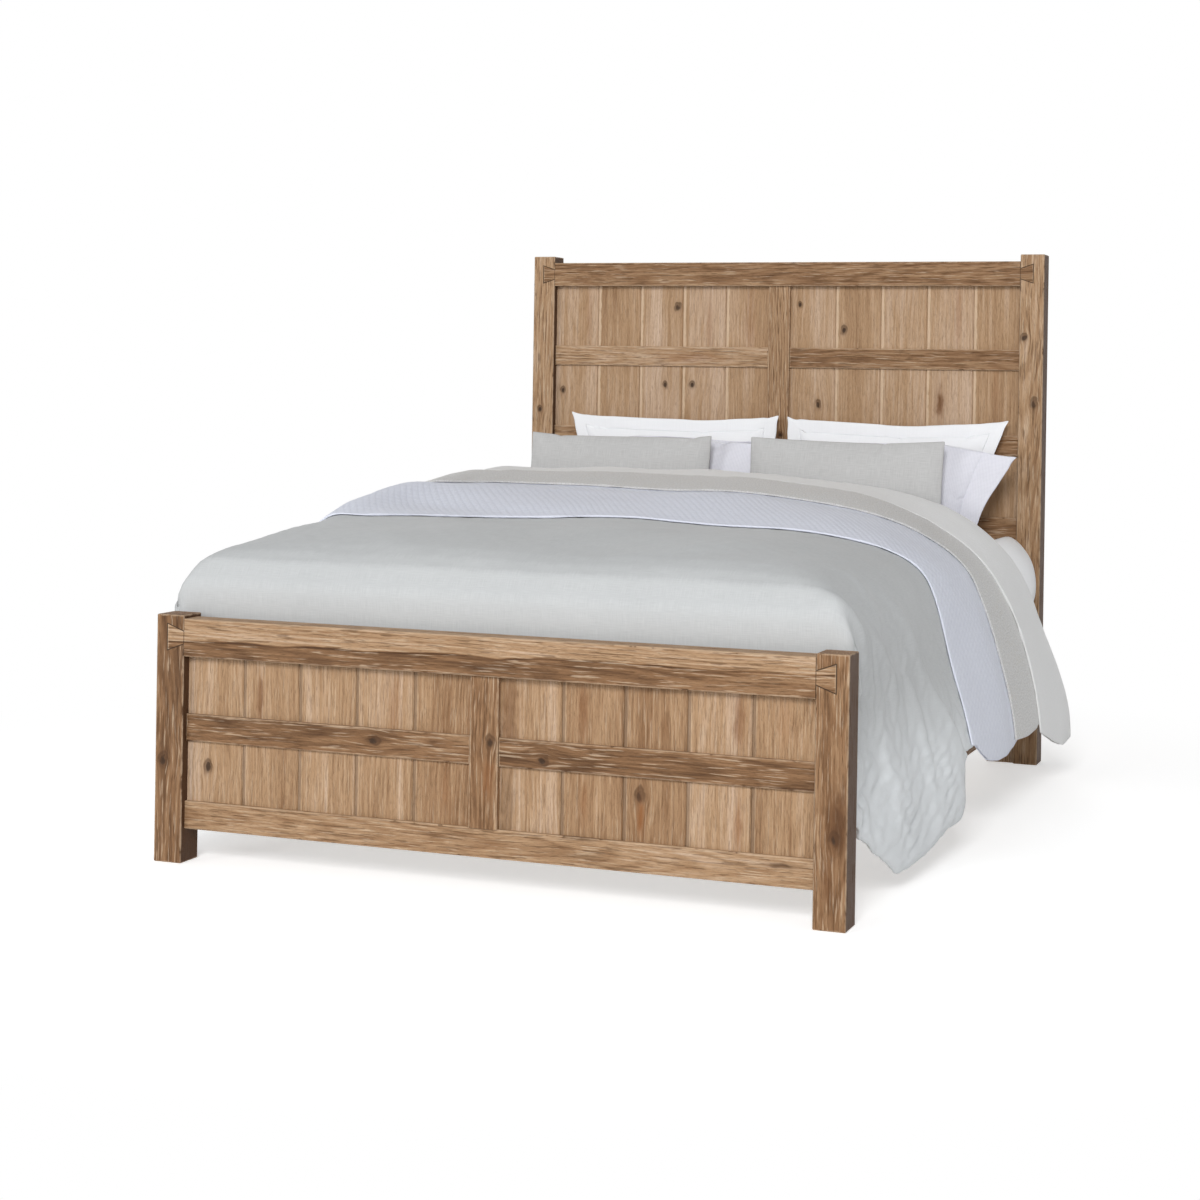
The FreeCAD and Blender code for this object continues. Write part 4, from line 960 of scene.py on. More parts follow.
RIGHT_HEM = [(-1.04, 0.232), (-1.00, 0.205), (-0.95, 0.170), (-0.865, 0.128), (-0.80, 0.092), (-0.745, 0.058),
             (-0.69, 0.055), (-0.56, 0.061), (-0.45, 0.084), (-0.33, 0.096), (-0.30, 0.106), (-0.280, 0.135),
             (-0.265, 0.175), (-0.245, 0.222), (-0.20, 0.245), (0.96, 0.245)]
LEFT_HEM = [(-1.04, 0.23), (-1.01, 0.20), (-0.94, 0.15), (-0.88, 0.11), (-0.80, 0.078), (-0.68, 0.085),
            (-0.58, 0.095), (-0.49, 0.12), (-0.44, 0.17), (-0.40, 0.22), (-0.34, 0.245), (0.96, 0.245)]
# Soft folds over the shoulder: start and end as (along the bed, out over the cloth), width and height
RIGHT_FOLDS = [
    ((-1.01, 0.78), (-0.95, 0.96), 0.022, 0.014),
    ((-0.89, 0.91), (-0.85, 1.02), 0.013, -0.008),
    ((-0.84, 0.93), (-0.65, 1.07), 0.024, 0.010),
    ((-0.73, 0.70), (-0.80, 0.93), 0.034, 0.008),
    ((-0.65, 0.82), (-0.40, 1.12), 0.030, 0.011),
    ((-0.46, 1.05), (-0.27, 1.27), 0.026, 0.009),
    ((-0.60, 1.00), (-0.52, 1.20), 0.024, 0.007),
    ((-0.93, 0.20), (-0.60, 0.58), 0.060, 0.007),
    ((-0.80, -0.10), (-0.35, 0.30), 0.080, 0.006),
]
LEFT_FOLDS = [
    ((-0.92, 0.86), (-0.76, 1.12), 0.036, 0.009),
    ((-0.64, 0.88), (-0.44, 1.18), 0.038, 0.008),
    ((-0.95, 0.25), (-0.66, 0.60), 0.060, 0.007),
]


def fold_ridge(along, out, start, end, width, height):
    """A soft ridge between two places on the cloth, dying away at both ends."""
    start = np.array(start)
    run = np.array(end) - start
    share = ((along - start[0]) * run[0] + (out - start[1]) * run[1]) / (run @ run)
    near = np.clip(share, 0, 1)
    gap = np.hypot(along - start[0] - near * run[0], out - start[1] - near * run[1])
    return height * bell(gap, 0.0, width) * np.sin(np.pi * np.clip(share, *FOLD_ENDS)) ** FOLD_CURVE


class Drape:
    """One half of the bedding's top surface, from the middle of the bed out and down the side."""

    def __init__(self, side, sections, folds, seed):
        self.side = side
        self.columns = np.concatenate(
            [np.linspace(0, 1, TOP_COLUMNS + 1), np.linspace(1, 2, DROP_COLUMNS + 1)[1:]]
        )
        lines = np.array(list(self.station_lines(sections)))
        along = np.repeat(BED_STATIONS[:, None], lines.shape[1], axis=1)
        smooth = np.stack([lines[:, :, 0], along, lines[:, :, 1]], axis=2)
        self.grid = pushed(smooth, self.relief(along, lines[:, :, 1], folds, seed))
        self.normals = grid_normals(self.grid)

    def station_lines(self, sections):
        """The surface's line at each station, as points (out, height) for the columns."""
        stations = sorted(sections)
        corners = np.array([sections[station] for station in stations], float)
        foot_y, foot_z = np.array(FOOT_PROFILE).T
        for y in BED_STATIONS:
            line = np.array(
                [[np.interp(y, stations, corners[:, i, k]) for k in (0, 1)] for i in range(corners.shape[1])]
            )
            line = np.vstack([line, (line[-1, 0] + HEM_SPREAD, HEM_LOWEST)])
            line = smooth_line(np.vstack([line[1] * (-1, 1), line]), SECTION_STEPS)
            line = line[line[:, 0] >= 0]
            foot = np.interp(y, foot_y, foot_z)
            share = np.clip(0.5 + (foot - line[:, 1]) / (2 * FOOT_BLUR), 0, 1)
            line[:, 1] = foot * (1 - share) + line[:, 1] * share - FOOT_BLUR * share * (1 - share)
            shoulder = int(np.argmax(line[:, 0] >= SHOULDER))
            top = spaced(line[: shoulder + 1], TOP_COLUMNS + 1)
            drop = spaced(line[shoulder:], DROP_COLUMNS + 1)
            yield np.vstack([top, drop[1:]])

    def relief(self, along, height, folds, seed):
        """How far the cloth stands out of its sections: tucked at the foot corner, waved and folded."""
        out = self.out(self.columns)[None, :] + along * 0
        tuck = CORNER_TUCK * np.clip((CORNER_START - along) / CORNER_RUN, 0, 1) ** CORNER_CURVE
        wave = DROP_WAVE["height"] * ripple(along, out * DROP_WAVE["stretch"], seed, DROP_WAVE["length"])
        push = ease(*LOW_DROP, height) * (wave - tuck)
        slow = SLOW_WAVE["height"] * ripple(along, out, seed + 1, SLOW_WAVE["length"])
        push = push + slow * ease(*SLOW_WAVE["start"], along)
        for fold in folds:
            push = push + fold_ridge(along, out, *fold)
        return push

    def out(self, column):
        """Distance out over the cloth from the middle of the bed."""
        column = np.asarray(column, float)
        return np.where(column < 1, column * TOP_REACH, TOP_REACH + (column - 1) * DROP_REACH)

    def look_up(self, table, y, column):
        row = np.interp(y, BED_STATIONS, np.arange(len(BED_STATIONS)))
        place = np.interp(column, self.columns, np.arange(len(self.columns)))
        i = np.minimum(row.astype(int), len(BED_STATIONS) - 2)
        j = np.minimum(place.astype(int), len(self.columns) - 2)
        u = (row - i)[..., None]
        v = (place - j)[..., None]
        near = table[i, j] * (1 - v) + table[i, j + 1] * v
        far = table[i + 1, j] * (1 - v) + table[i + 1, j + 1] * v
        return near * (1 - u) + far * u

    def at(self, y, column):
        """Places on the surface and the directions out of it."""
        mirror = (self.side, 1, 1)
        return self.look_up(self.grid, y, column) * mirror, self.look_up(self.normals, y, column) * mirror

    def hem(self, y, height):
        """The column at which the surface comes down to a height."""
        line = self.look_up(self.grid, np.full(HEM_SEARCH.shape, y), HEM_SEARCH)[:, 2]
        return float(np.interp(-height, -line, HEM_SEARCH))


MIDDLE_BLEND = 0.2
right = Drape(1, RIGHT_SECTIONS, RIGHT_FOLDS, seed=31)
left = Drape(-1, LEFT_SECTIONS, LEFT_FOLDS, seed=57)


def drape_at(y, column, level):
    """Points over both halves, at a level above the surface: columns under 0 are on the left."""
    y, column, level = np.broadcast_arrays(y, column, level)
    place_right, normal_right = right.at(y, np.abs(column))
    place_left, normal_left = left.at(y, np.abs(column))
    share = ease(-MIDDLE_BLEND, MIDDLE_BLEND, column)[..., None]
    place = place_right * share + place_left * (1 - share)
    place[..., 0] = np.where(column < 0, place_left[..., 0], place_right[..., 0])
    normal = unit(normal_right * share + normal_left * (1 - share))
    return place + normal * np.asarray(level)[..., None]


# Meshes from grids
RIM_STEPS = ((0.25, 0.75), (0.5, 1.0), (0.75, 0.75))
CLOTH_QUALITY = 4
CLOTH_MASS = 0.25
CLOTH_STIFFNESS = 12.0


def new_piece(name, points, faces, cut=None):
    mesh = bpy.data.meshes.new(name)
    mesh.from_pydata([tuple(map(float, point)) for point in points], [], faces)
    mesh.update()
    if cut is not None:
        layer = mesh.uv_layers.new(name="cut")
        places = np.empty(len(mesh.loops), int)
        mesh.loops.foreach_get("vertex_index", places)
        layer.data.foreach_set("uv", np.asarray(cut, np.float32)[places].ravel())
    mesh.polygons.foreach_set("use_smooth", [True] * len(mesh.polygons))
    piece = bpy.data.objects.new(name, mesh)
    scene.collection.objects.link(piece)
    return piece


def dress(piece, material, node, slot):
    """Puts a finished piece on the bed in place of a solid."""
    give(piece, material)
    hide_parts(node)
    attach(piece, "bed")


def grid_faces(rows, columns, start=0, flipped=False):
    index = np.arange(rows * columns).reshape(rows, columns) + start
    quads = np.stack([index[:-1, :-1], index[:-1, 1:], index[1:, 1:], index[1:, :-1]], axis=2)
    if flipped:
        quads = quads[:, :, ::-1]
    return quads.reshape(-1, 4).tolist()


def band_faces(first, second):
    """Faces between two closed rings of points, which are given by their indices."""
    return np.stack([np.roll(first, -1), first, second, np.roll(second, -1)], axis=1).tolist()


def border(rows, columns):
    """Indices round a grid's edge, in order."""
    index = np.arange(rows * columns).reshape(rows, columns)
    return np.concatenate([index[0, :-1], index[:-1, -1], index[-1, :0:-1], index[:0:-1, 0]])


def flat_places(grid):
    """Each point's place on the flat cloth, measured over the grid from its middle."""
    middle = grid.shape[1] // 2
    across = distances(grid, axis=1)
    along = distances(grid[:, middle])[:, None]
    return np.stack(np.broadcast_arrays(across - across[:, middle : middle + 1], along), axis=2)


def shell_piece(name, outer, inner, rim):
    """A closed cloth body: an outer face, an inner face and a rounded rim between them."""
    rows, columns = outer.shape[:2]
    count = rows * columns
    flat = flat_places(outer).reshape(-1, 2)
    edge = border(rows, columns)
    outside = outer.reshape(-1, 3)
    inside = inner.reshape(-1, 3)
    one_in = np.pad(outer[1:-1, 1:-1], ((1, 1), (1, 1), (0, 0)), mode="edge").reshape(-1, 3)
    away = unit(outside[edge] - one_in[edge])
    loops = [
        outside[edge] * (1 - share) + inside[edge] * share + away * rim * bulge for share, bulge in RIM_STEPS
    ]
    points = np.vstack([outside, inside] + loops)
    faces = grid_faces(rows, columns) + grid_faces(rows, columns, count, True)
    ring = np.arange(len(edge))
    rings = [edge] + [2 * count + i * len(edge) + ring for i in range(len(loops))] + [edge + count]
    for first, second in zip(rings, rings[1:]):
        faces += band_faces(first, second)
    cut = np.vstack([flat, flat] + [flat[edge]] * len(loops))
    return new_piece(name, points, faces, cut)


def cloth_settle(points, faces, hold, frames, bend, slack=0.0, pressure=0.0):
    """Where the points of a cloth come to rest when it is cut too large by slack, or blown up by pressure."""
    piece = new_piece("settling_cloth", points, faces)
    group = piece.vertex_groups.new(name="held")
    for i, weight in enumerate(hold):
        group.add([i], float(weight), "REPLACE")
    modifier = piece.modifiers.new("settle", "CLOTH")
    settings = modifier.settings
    settings.quality = CLOTH_QUALITY
    settings.mass = CLOTH_MASS
    settings.tension_stiffness = CLOTH_STIFFNESS
    settings.compression_stiffness = CLOTH_STIFFNESS
    settings.shear_stiffness = CLOTH_STIFFNESS / 2
    settings.bending_stiffness = bend
    settings.shrink_min = -slack
    settings.shrink_max = -slack
    settings.vertex_group_mass = "held"
    settings.pin_stiffness = 1.0
    settings.use_pressure = pressure > 0
    settings.uniform_pressure_force = pressure
    settings.effector_weights.gravity = 0.0
    modifier.collision_settings.use_collision = False
    modifier.point_cache.frame_start = 1
    modifier.point_cache.frame_end = frames
    for step in range(1, frames + 1):
        scene.frame_set(step)
    settled = piece.evaluated_get(bpy.context.evaluated_depsgraph_get())
    result = np.empty(len(points) * 3)
    settled.data.vertices.foreach_get("co", result)
    bpy.data.objects.remove(piece)
    scene.frame_set(1)
    return result.reshape(-1, 3)


# Duvet
DUVET_END = 0.775
# Stretches along the duvet, as start, end and number of stations
DUVET_STRETCHES = ((-1.04, -0.98, 8), (-0.98, -0.10, 107), (-0.10, DUVET_END, 44))
DUVET_TOP_COLUMNS = 62
DUVET_DROP_COLUMNS = 88
SIDE_END = 0.10
SIDE_SPAN = (0.2, DUVET_END)
DROP_SPAN = (0.9, 1.3)
COVER_SPAN = (-0.03, 0.07)
COVER_DIP = 0.004
FOOT_HOLD = (-0.99, -1.03)
DUVET_LOFT = 0.030
EDGE_LOFT = 0.010
EDGE_POINTS = 6
FOOT_THIN = 0.65
FOOT_THIN_SPAN = (-0.96, -1.03)
DUVET_RIM = 0.004
BED_COLUMN = 0.98
BED_FOOT = -1.0
SHEET_TOP = 0.6705
CRINKLE_SPAN = (0.85, 1.25)
CRINKLE_START = {"height": 0.0025, "length": 0.06, "seed": 77}
CRINKLE_FREE = (0.80, 0.16)
CRINKLE_SHARE = (0.12, 0.50)
CRINKLE_LEAST_HOLD = 0.04
CRINKLE_SLACK = 0.05
CRINKLE_FRAMES = 20
CRINKLE_BEND = 0.3
CRINKLE_MOST = 0.016
CREASE_SEED = 79
CREASE_PITCH = 0.032
CREASE_STRETCH = 0.25
CREASE_HEIGHT = 0.0028
CREASE_SLOPE = math.radians(68)
CREASE_END = (-0.28, -0.38)
CREASE_BELOW = (0.38, 0.26)
HEM_CREASE = 0.25
HEM_CURL = 0.010
HEM_CURL_REACH = 0.035
LINEN_PALE = colour(0.58, 0.595, 0.60)
LINEN_DARK = colour(0.488, 0.503, 0.508)
# Painted light: from 1.02 to 1.28 m out from the middle of the cut the linen turns most of the way to a pale
# bluish grey, as if lit more brightly low on the drop
LINEN_PAINTED_LIGHT = (1.02, 1.28, 0.85, colour(0.80, 0.83, 0.85))


def half_columns(hem):
    """Columns from the middle of the bed to a hem, closer together on the drop."""
    top = np.linspace(0, 1, DUVET_TOP_COLUMNS + 1)
    return np.concatenate([top, np.linspace(1, hem, DUVET_DROP_COLUMNS + 1)[1:]])


# Where the folded cloths' front edges lie along the bed, at columns from the left drop to the right one
COVERLET_FRONT = [(-1.9, -0.43), (-1.3, -0.43), (-1.05, -0.43), (-0.9, -0.41), (-0.8, -0.36), (-0.7, -0.29),
                  (-0.58, -0.22), (-0.45, -0.175), (-0.3, -0.165), (-0.15, -0.18), (0.0, -0.175),
                  (0.2, -0.155), (0.4, -0.150), (0.55, -0.155), (0.7, -0.152), (0.85, -0.143), (1.0, -0.140),
                  (1.3, -0.145), (1.9, -0.15)]
BLANKET_FRONT = [(-1.9, 0.12), (-1.3, 0.12), (-1.08, 0.13), (-1.0, 0.16), (-0.92, 0.23), (-0.82, 0.31),
                 (-0.7, 0.355), (-0.5, 0.372), (0.0, 0.385), (0.5, 0.375), (0.9, 0.358), (1.3, 0.325),
                 (1.9, 0.31)]
UPPER_FRONT = [(-1.9, 0.44), (-1.3, 0.44), (-1.08, 0.45), (-1.0, 0.48), (-0.92, 0.54), (-0.8, 0.59),
               (-0.5, 0.605), (0.0, 0.615), (0.5, 0.603), (0.9, 0.605), (1.3, 0.594), (1.9, 0.59)]


def front_edge(table, column):
    columns, places = smooth_line(table, 12).T
    return np.interp(column, columns, places)


coverlet_edge = partial(front_edge, COVERLET_FRONT)
blanket_edge = partial(front_edge, BLANKET_FRONT)
upper_edge = partial(front_edge, UPPER_FRONT)


def duvet_places():
    """Each of the duvet's points along the bed and over it, as a column, from hem to hem."""
    stretches = [np.linspace(*stretch, endpoint=False) for stretch in DUVET_STRETCHES]
    stations = np.concatenate(stretches + [[DUVET_END]])
    columns = []
    for y in stations:
        left_hem = left.hem(y, np.interp(y, *np.array(LEFT_HEM).T))
        right_hem = right.hem(y, np.interp(y, *np.array(RIGHT_HEM).T))
        columns.append(np.concatenate([-half_columns(left_hem)[:0:-1], half_columns(right_hem)]))
    columns = np.array(columns)
    return np.repeat(stations[:, None], columns.shape[1], axis=1), columns


def crinkled(outer, along, out, loose):
    """The duvet settled as a cloth that is cut a little too large, most of all low on the drop."""
    low = ease(*CRINKLE_SPAN, out)
    hold = np.clip(1 - loose * (CRINKLE_FREE[0] + CRINKLE_FREE[1] * low), CRINKLE_LEAST_HOLD, 1)
    uneven = ripple(along, out, CRINKLE_START["seed"], CRINKLE_START["length"])
    started = pushed(outer, CRINKLE_START["height"] * uneven).reshape(-1, 3)
    faces = grid_faces(*outer.shape[:2])
    settled = cloth_settle(started, faces, hold.ravel(), CRINKLE_FRAMES, CRINKLE_BEND, slack=CRINKLE_SLACK)
    moved = settled.reshape(outer.shape) - outer
    far = np.linalg.norm(moved, axis=2, keepdims=True)
    moved = moved * np.minimum(1, CRINKLE_MOST / np.maximum(far, TINY))
    return outer + moved * (loose * (CRINKLE_SHARE[0] + CRINKLE_SHARE[1] * low))[:, :, None]


def creased(outer, along, out, columns, loose):
    """The duvet with fine slanting creases low on the drop, and its hem curled in."""
    over = along * math.cos(CREASE_SLOPE) + out * math.sin(CREASE_SLOPE)
    run = along * math.sin(CREASE_SLOPE) - out * math.cos(CREASE_SLOPE)
    free = loose * ease(*CREASE_END, along)
    crease = ripple(over, run * CREASE_STRETCH, CREASE_SEED, CREASE_PITCH) * CREASE_HEIGHT
    crease = crease * free * ease(*CREASE_BELOW, outer[:, :, 2])
    hem_columns = np.where(columns < 0, -columns[:, :1], columns[:, -1:])
    from_hem = (hem_columns - np.abs(columns)) * DROP_REACH
    crease = crease * (HEM_CREASE + (1 - HEM_CREASE) * ease(0.0, HEM_CURL_REACH, from_hem))
    curl = HEM_CURL * np.clip(1 - from_hem / HEM_CURL_REACH, 0, 1) ** 2
    return pushed(outer, crease - curl * free)


def from_ends(count):
    """How many places each of a row of points lies from the nearer end."""
    index = np.arange(count)
    return np.minimum(index, index[::-1])


def duvet_lining(outer, along, columns):
    """The inner face: the loft in from the outer one, and down on the sheet over the bed."""
    rows, width = outer.shape[:2]
    body = np.clip(np.minimum.outer(from_ends(rows), from_ends(width)) / EDGE_POINTS, 0, 1) ** 0.5
    loft = EDGE_LOFT + (DUVET_LOFT - EDGE_LOFT) * body
    inner = pushed(outer, -loft * (1 - FOOT_THIN * ease(*FOOT_THIN_SPAN, along)))
    on_bed = (np.abs(columns) < BED_COLUMN) & (along > BED_FOOT)
    inner[:, :, 2] = np.where(on_bed, np.minimum(inner[:, :, 2], SHEET_TOP), inner[:, :, 2])
    return inner


def make_duvet():
    along, columns = duvet_places()
    under_cover = ease(*COVER_SPAN, along - coverlet_edge(columns))
    side_reach = ease(*DROP_SPAN, np.abs(columns)) * ease(*SIDE_SPAN, along) * SIDE_END
    outer = drape_at(along + side_reach, columns, -COVER_DIP * under_cover)
    out = right.out(np.abs(columns))
    loose = (1 - under_cover) * (1 - ease(*FOOT_HOLD, along))
    outer = crinkled(outer, along, out, loose)
    outer = creased(outer, along, out, columns, loose)
    piece = shell_piece("duvet_cover", outer, duvet_lining(outer, along, columns), DUVET_RIM)
    linen = woven("grey_linen", LINEN_PALE, LINEN_DARK, **DUVET_LINEN, hem=LINEN_PAINTED_LIGHT)
    dress(piece, linen, "duvet", "grey_linen")


# Folded cloths over the duvet
COVERLET_HEM = [(-0.2, 0.252), (-0.13, 0.250), (-0.09, 0.224), (-0.03, 0.195), (0.05, 0.181), (0.15, 0.177),
                (0.30, 0.178), (0.40, 0.21), (0.9, 0.23)]
BLANKET_HEM = [(0.2, 0.200), (0.4, 0.192), (0.9, 0.205)]
UPPER_HEM = [(0.5, 0.190), (0.59, 0.176), (0.70, 0.135), (0.78, 0.115), (0.9, 0.125)]
COVERLET_LEVELS = (0.0022, 0.0052)
BLANKET_LEVELS = (0.0092, 0.0129, 0.0166, 0.0203)
COVERLET_SWELL = 0.016
BLANKET_SWELL = 0.014
SWELL_CREST = 0.72
SWELL_THIN = 0.5
SWELL_THIN_SPAN = (0.95, 1.3)
COVERLET_THICK = 0.0026
BLANKET_THICK = 0.0032
COVERLET_ROWS = 46
BLANKET_ROWS = 26
FOLDED_HALF_COLUMNS = 110
FOLD_TURNS = np.linspace(0, math.pi, 9)[1:-1]
FIRST_REACH = 1.5
LEFT_HEM_LIFT = 0.01
HEAD_GAP = 0.002
ROUGH_WAVES = 30
COVERLET_PALE = colour(0.82, 0.85, 0.945)
COVERLET_DARK = colour(0.73, 0.757, 0.862)
WOOL_PALE = colour(0.70, 0.695, 0.685)
WOOL_DARK = colour(0.50, 0.495, 0.485)
WOOL_WARM = colour(0.57, 0.55, 0.51)
WOOL_BACK = colour(0.84, 0.845, 0.845)


def head_edge(column):
    return DUVET_END + HEAD_GAP + SIDE_END * ease(*DROP_SPAN, np.abs(column))


def folded_rows(leg_count, leg_rows):
    """Rows of a folded cloth, as the leg, the share along it and the turn round its end or None."""
    for number in range(leg_count):
        for step in np.linspace(0, 1, leg_rows):
            yield number, step, None
        if number + 1 < leg_count:
            for turn in FOLD_TURNS:
                yield number, 1.0, turn


def folded_grid(legs, leg_rows, swell):
    """Points of a cloth laid to and fro along the bed.

    Each leg has its start and end edges, its level, its hem, and the edge of what lies over it,
    up to which it swells, or None where it is covered.
    """
    share = np.linspace(-1, 1, 2 * FOLDED_HALF_COLUMNS + 1)
    grid = []
    for number, step, turn in folded_rows(len(legs), leg_rows):
        start, end, level, hem, cover = legs[number]
        hem_y, hem_z = np.array(hem).T
        rise = level
        lift = 0.0
        if turn is not None:
            radius = (legs[number + 1][2] - level) / 2
            rise = level + radius - radius * math.cos(turn)
            lift = radius * math.sin(turn)
        columns = share * FIRST_REACH
        for _ in range(2):
            first = start(columns)
            last = end(columns)
            y = first + (last - first) * step + np.sign(last - first) * lift
            left_hem = left.hem(y[0], np.interp(y[0], hem_y, hem_z) + LEFT_HEM_LIFT)
            right_hem = right.hem(y[-1], np.interp(y[-1], hem_y, hem_z))
            columns = np.where(share < 0, share * left_hem, share * right_hem)
        if cover and turn is None:
            bared = np.clip((y - first) / (cover(columns) - first), 0, 1)
            thinner = 1 - SWELL_THIN * ease(*SWELL_THIN_SPAN, np.abs(columns))
            climb = np.sin(np.pi / 2 * np.clip(bared / SWELL_CREST, 0, 1))
            rise = rise + swell * thinner * climb * (1 - ease(SWELL_CREST, 1.0, bared))
        grid.append(drape_at(y, columns, rise))
    return np.array(grid)


def roughened(grid, seed, size, most):
    """The grid with small soft hollows and swells of its own."""
    flat = flat_places(grid)
    return pushed(grid, ripple(flat[:, :, 0], flat[:, :, 1], seed, size, ROUGH_WAVES) * most)


def thin_piece(name, grid, thick):
    half = grid_normals(grid) * thick / 2
    return shell_piece(name, grid + half, grid - half, thick / 2)


def flat_size(grid):
    """The mean width and length of the cloth, measured over the grid."""
    width = distances(grid, axis=1)[:, -1].mean()
    length = distances(grid, axis=0)[-1].mean()
    return round(float(width), 2), round(float(length), 2)


def make_coverlet():
    low, high = COVERLET_LEVELS
    legs = [
        (head_edge, coverlet_edge, low, COVERLET_HEM, None),
        (coverlet_edge, head_edge, high, COVERLET_HEM, blanket_edge),
    ]
    grid = roughened(folded_grid(legs, COVERLET_ROWS, COVERLET_SWELL), seed=5, size=0.09, most=0.0005)
    piece = thin_piece("folded_coverlet", grid, COVERLET_THICK)
    quilt = quilted("matelasse", COVERLET_PALE, COVERLET_DARK, pitch=0.034, relief=0.0024)
    dress(piece, quilt, "coverlet", "matelasse")
    flat_size(grid)


def make_blanket():
    one, two, three, four = BLANKET_LEVELS
    legs = [
        (head_edge, blanket_edge, one, BLANKET_HEM, None),
        (blanket_edge, head_edge, two, BLANKET_HEM, upper_edge),
        (head_edge, upper_edge, three, UPPER_HEM, None),
        (upper_edge, head_edge, four, UPPER_HEM, head_edge),
    ]
    grid = roughened(folded_grid(legs, BLANKET_ROWS, BLANKET_SWELL), seed=8, size=0.07, most=0.0006)
    piece = thin_piece("folded_blanket", grid, BLANKET_THICK)
    turned = 2 * (DUVET_END - float(blanket_edge(0.0))) + (DUVET_END - float(upper_edge(0.0)))
    wool = heathered("wool_blanket", WOOL_PALE, WOOL_DARK, WOOL_WARM, WOOL_BACK, turned)
    dress(piece, wool, "blanket", "wool_blanket")
    flat_size(grid)


# Mattress, box spring and fitted sheet: closed forms of rounded loops, one above another
LOOP_POINTS = 260
LOOP_CORNER_POINTS = 11
LEAST_CORNER = 0.004
BLOCK_INSET = 0.006
BLOCK_CORNER = 0.06
BLOCK_BULGE = 0.006
BLOCK_SIDE_IN = 0.001
BLOCK_SIDE_MARGIN = 0.014
BLOCK_SIDE_LOOPS = 9
# How far loops stand out, and their height above the block's bottom or below its top
BLOCK_UNDER = [(-0.30, 0.0), (-0.05, 0.0), (-0.012, 0.002)]
BLOCK_OVER = [(-0.012, 0.003), (-0.05, 0.001), (-0.30, 0.0)]
PIPING_SIZE = 0.005
PIPING_TURN = 2.2
PIPING_POINTS = 9
PIPING_LOW = 0.008
PIPING_HIGH = 0.009


def rounded_loop(half_width, half_length, corner):
    """Points round a rectangle with round corners, evenly spaced."""
    points = []
    turns = np.linspace(0, math.pi / 2, LOOP_CORNER_POINTS)
    for quarter, (sx, sy) in enumerate(((1, 1), (-1, 1), (-1, -1), (1, -1))):
        middle = np.array([sx * (half_width - corner), sy * (half_length - corner)])
        angle = turns + quarter * math.pi / 2
        points.append(middle + corner * np.stack([np.cos(angle), np.sin(angle)], axis=1))
    return spaced(np.vstack(points + [points[0][:1]]), LOOP_POINTS)[:-1]


def looped_piece(name, middle, profile, half_width, half_length, corner, wrinkle=None):
    """A closed body of loops: the profile gives how far each loop stands out, and its height."""
    loops = []
    for grow, height in profile:
        loop = rounded_loop(half_width + grow, half_length + grow, max(corner + grow, LEAST_CORNER))
        loops.append(np.column_stack([loop + middle, np.full(len(loop), height)]))
    loops = np.array(loops)
    if wrinkle:
        loops = wrinkle(loops)
    rise = distances(loops).mean(axis=1)
    turn = distances(loops[len(loops) // 2])
    cut = np.stack(np.broadcast_arrays(turn[None, :], rise[:, None]), axis=2).reshape(-1, 2)
    rings = np.arange(loops.shape[0] * loops.shape[1]).reshape(loops.shape[:2])
    faces = []
    for first, second in zip(rings, rings[1:]):
        faces += band_faces(second, first)
    faces += [rings[0][::-1].tolist(), rings[-1].tolist()]
    return new_piece(name, loops.reshape(-1, 3), faces, cut)


def piping(height):
    """A round cord sewn along an edge, as part of a loop profile."""
    turns = np.linspace(-PIPING_TURN, PIPING_TURN, PIPING_POINTS)
    return [(PIPING_SIZE * math.cos(turn), height + PIPING_SIZE * math.sin(turn)) for turn in turns]


def make_ticking_block(name, node, material):
    low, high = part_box(node)
    middle = ((low.x + high.x) / 2, (low.y + high.y) / 2)
    half_width = (high.x - low.x) / 2 - BLOCK_INSET
    half_length = (high.y - low.y) / 2 - BLOCK_INSET
    bottom = low.z + BLOCK_SIDE_MARGIN
    tall = high.z - low.z - 2 * BLOCK_SIDE_MARGIN
    sides = [
        (BLOCK_BULGE * math.sin(math.pi * share) - BLOCK_SIDE_IN, bottom + tall * share)
        for share in np.linspace(0, 1, BLOCK_SIDE_LOOPS)
    ]
    under = [(grow, low.z + height) for grow, height in BLOCK_UNDER]
    over = [(grow, high.z - depth) for grow, depth in BLOCK_OVER]
    profile = under + piping(low.z + PIPING_LOW) + sides + piping(high.z - PIPING_HIGH) + over
    piece = looped_piece(name, middle, profile, half_width, half_length, BLOCK_CORNER)
    dress(piece, material, node, "ticking")


MATTRESS_HALF = (0.762, 1.016)
# The sheet's faces from the mattress top down its side, as (out from the edge, height)
SHEET_OUTER = [(-0.30, 0.6695), (-0.06, 0.6695), (-0.02, 0.668), (0.015, 0.660), (0.046, 0.648),
               (0.068, 0.626), (0.082, 0.594), (0.088, 0.557), (0.085, 0.515), (0.070, 0.475), (0.045, 0.440),
               (0.022, 0.415)]
SHEET_INNER = [(-0.30, 0.6665), (-0.06, 0.6665), (-0.02, 0.665), (0.014, 0.657), (0.044, 0.645),
               (0.065, 0.624), (0.079, 0.592), (0.085, 0.556), (0.082, 0.515), (0.067, 0.477), (0.042, 0.442),
               (0.019, 0.416)]
SHEET_STEPS = 4
SHEET_CORNER = 0.012
SHEET_LOOSE = (0.74, 0.93)
SHEET_TIGHT = 0.13
SHEET_LIFT = 0.034
SHEET_LIFT_PLACE = (0.765, 0.05)
SHEET_SAG = 0.014
SHEET_SAG_OUT = (0.72, 0.775)
SHEET_SAG_ABOVE = (0.58, 0.65)
SHEET_END_ROOM = 0.10
GATHER = {"height": 0.005, "length": 0.11, "stretch": 0.25, "seed": 3, "below": (0.66, 0.56)}
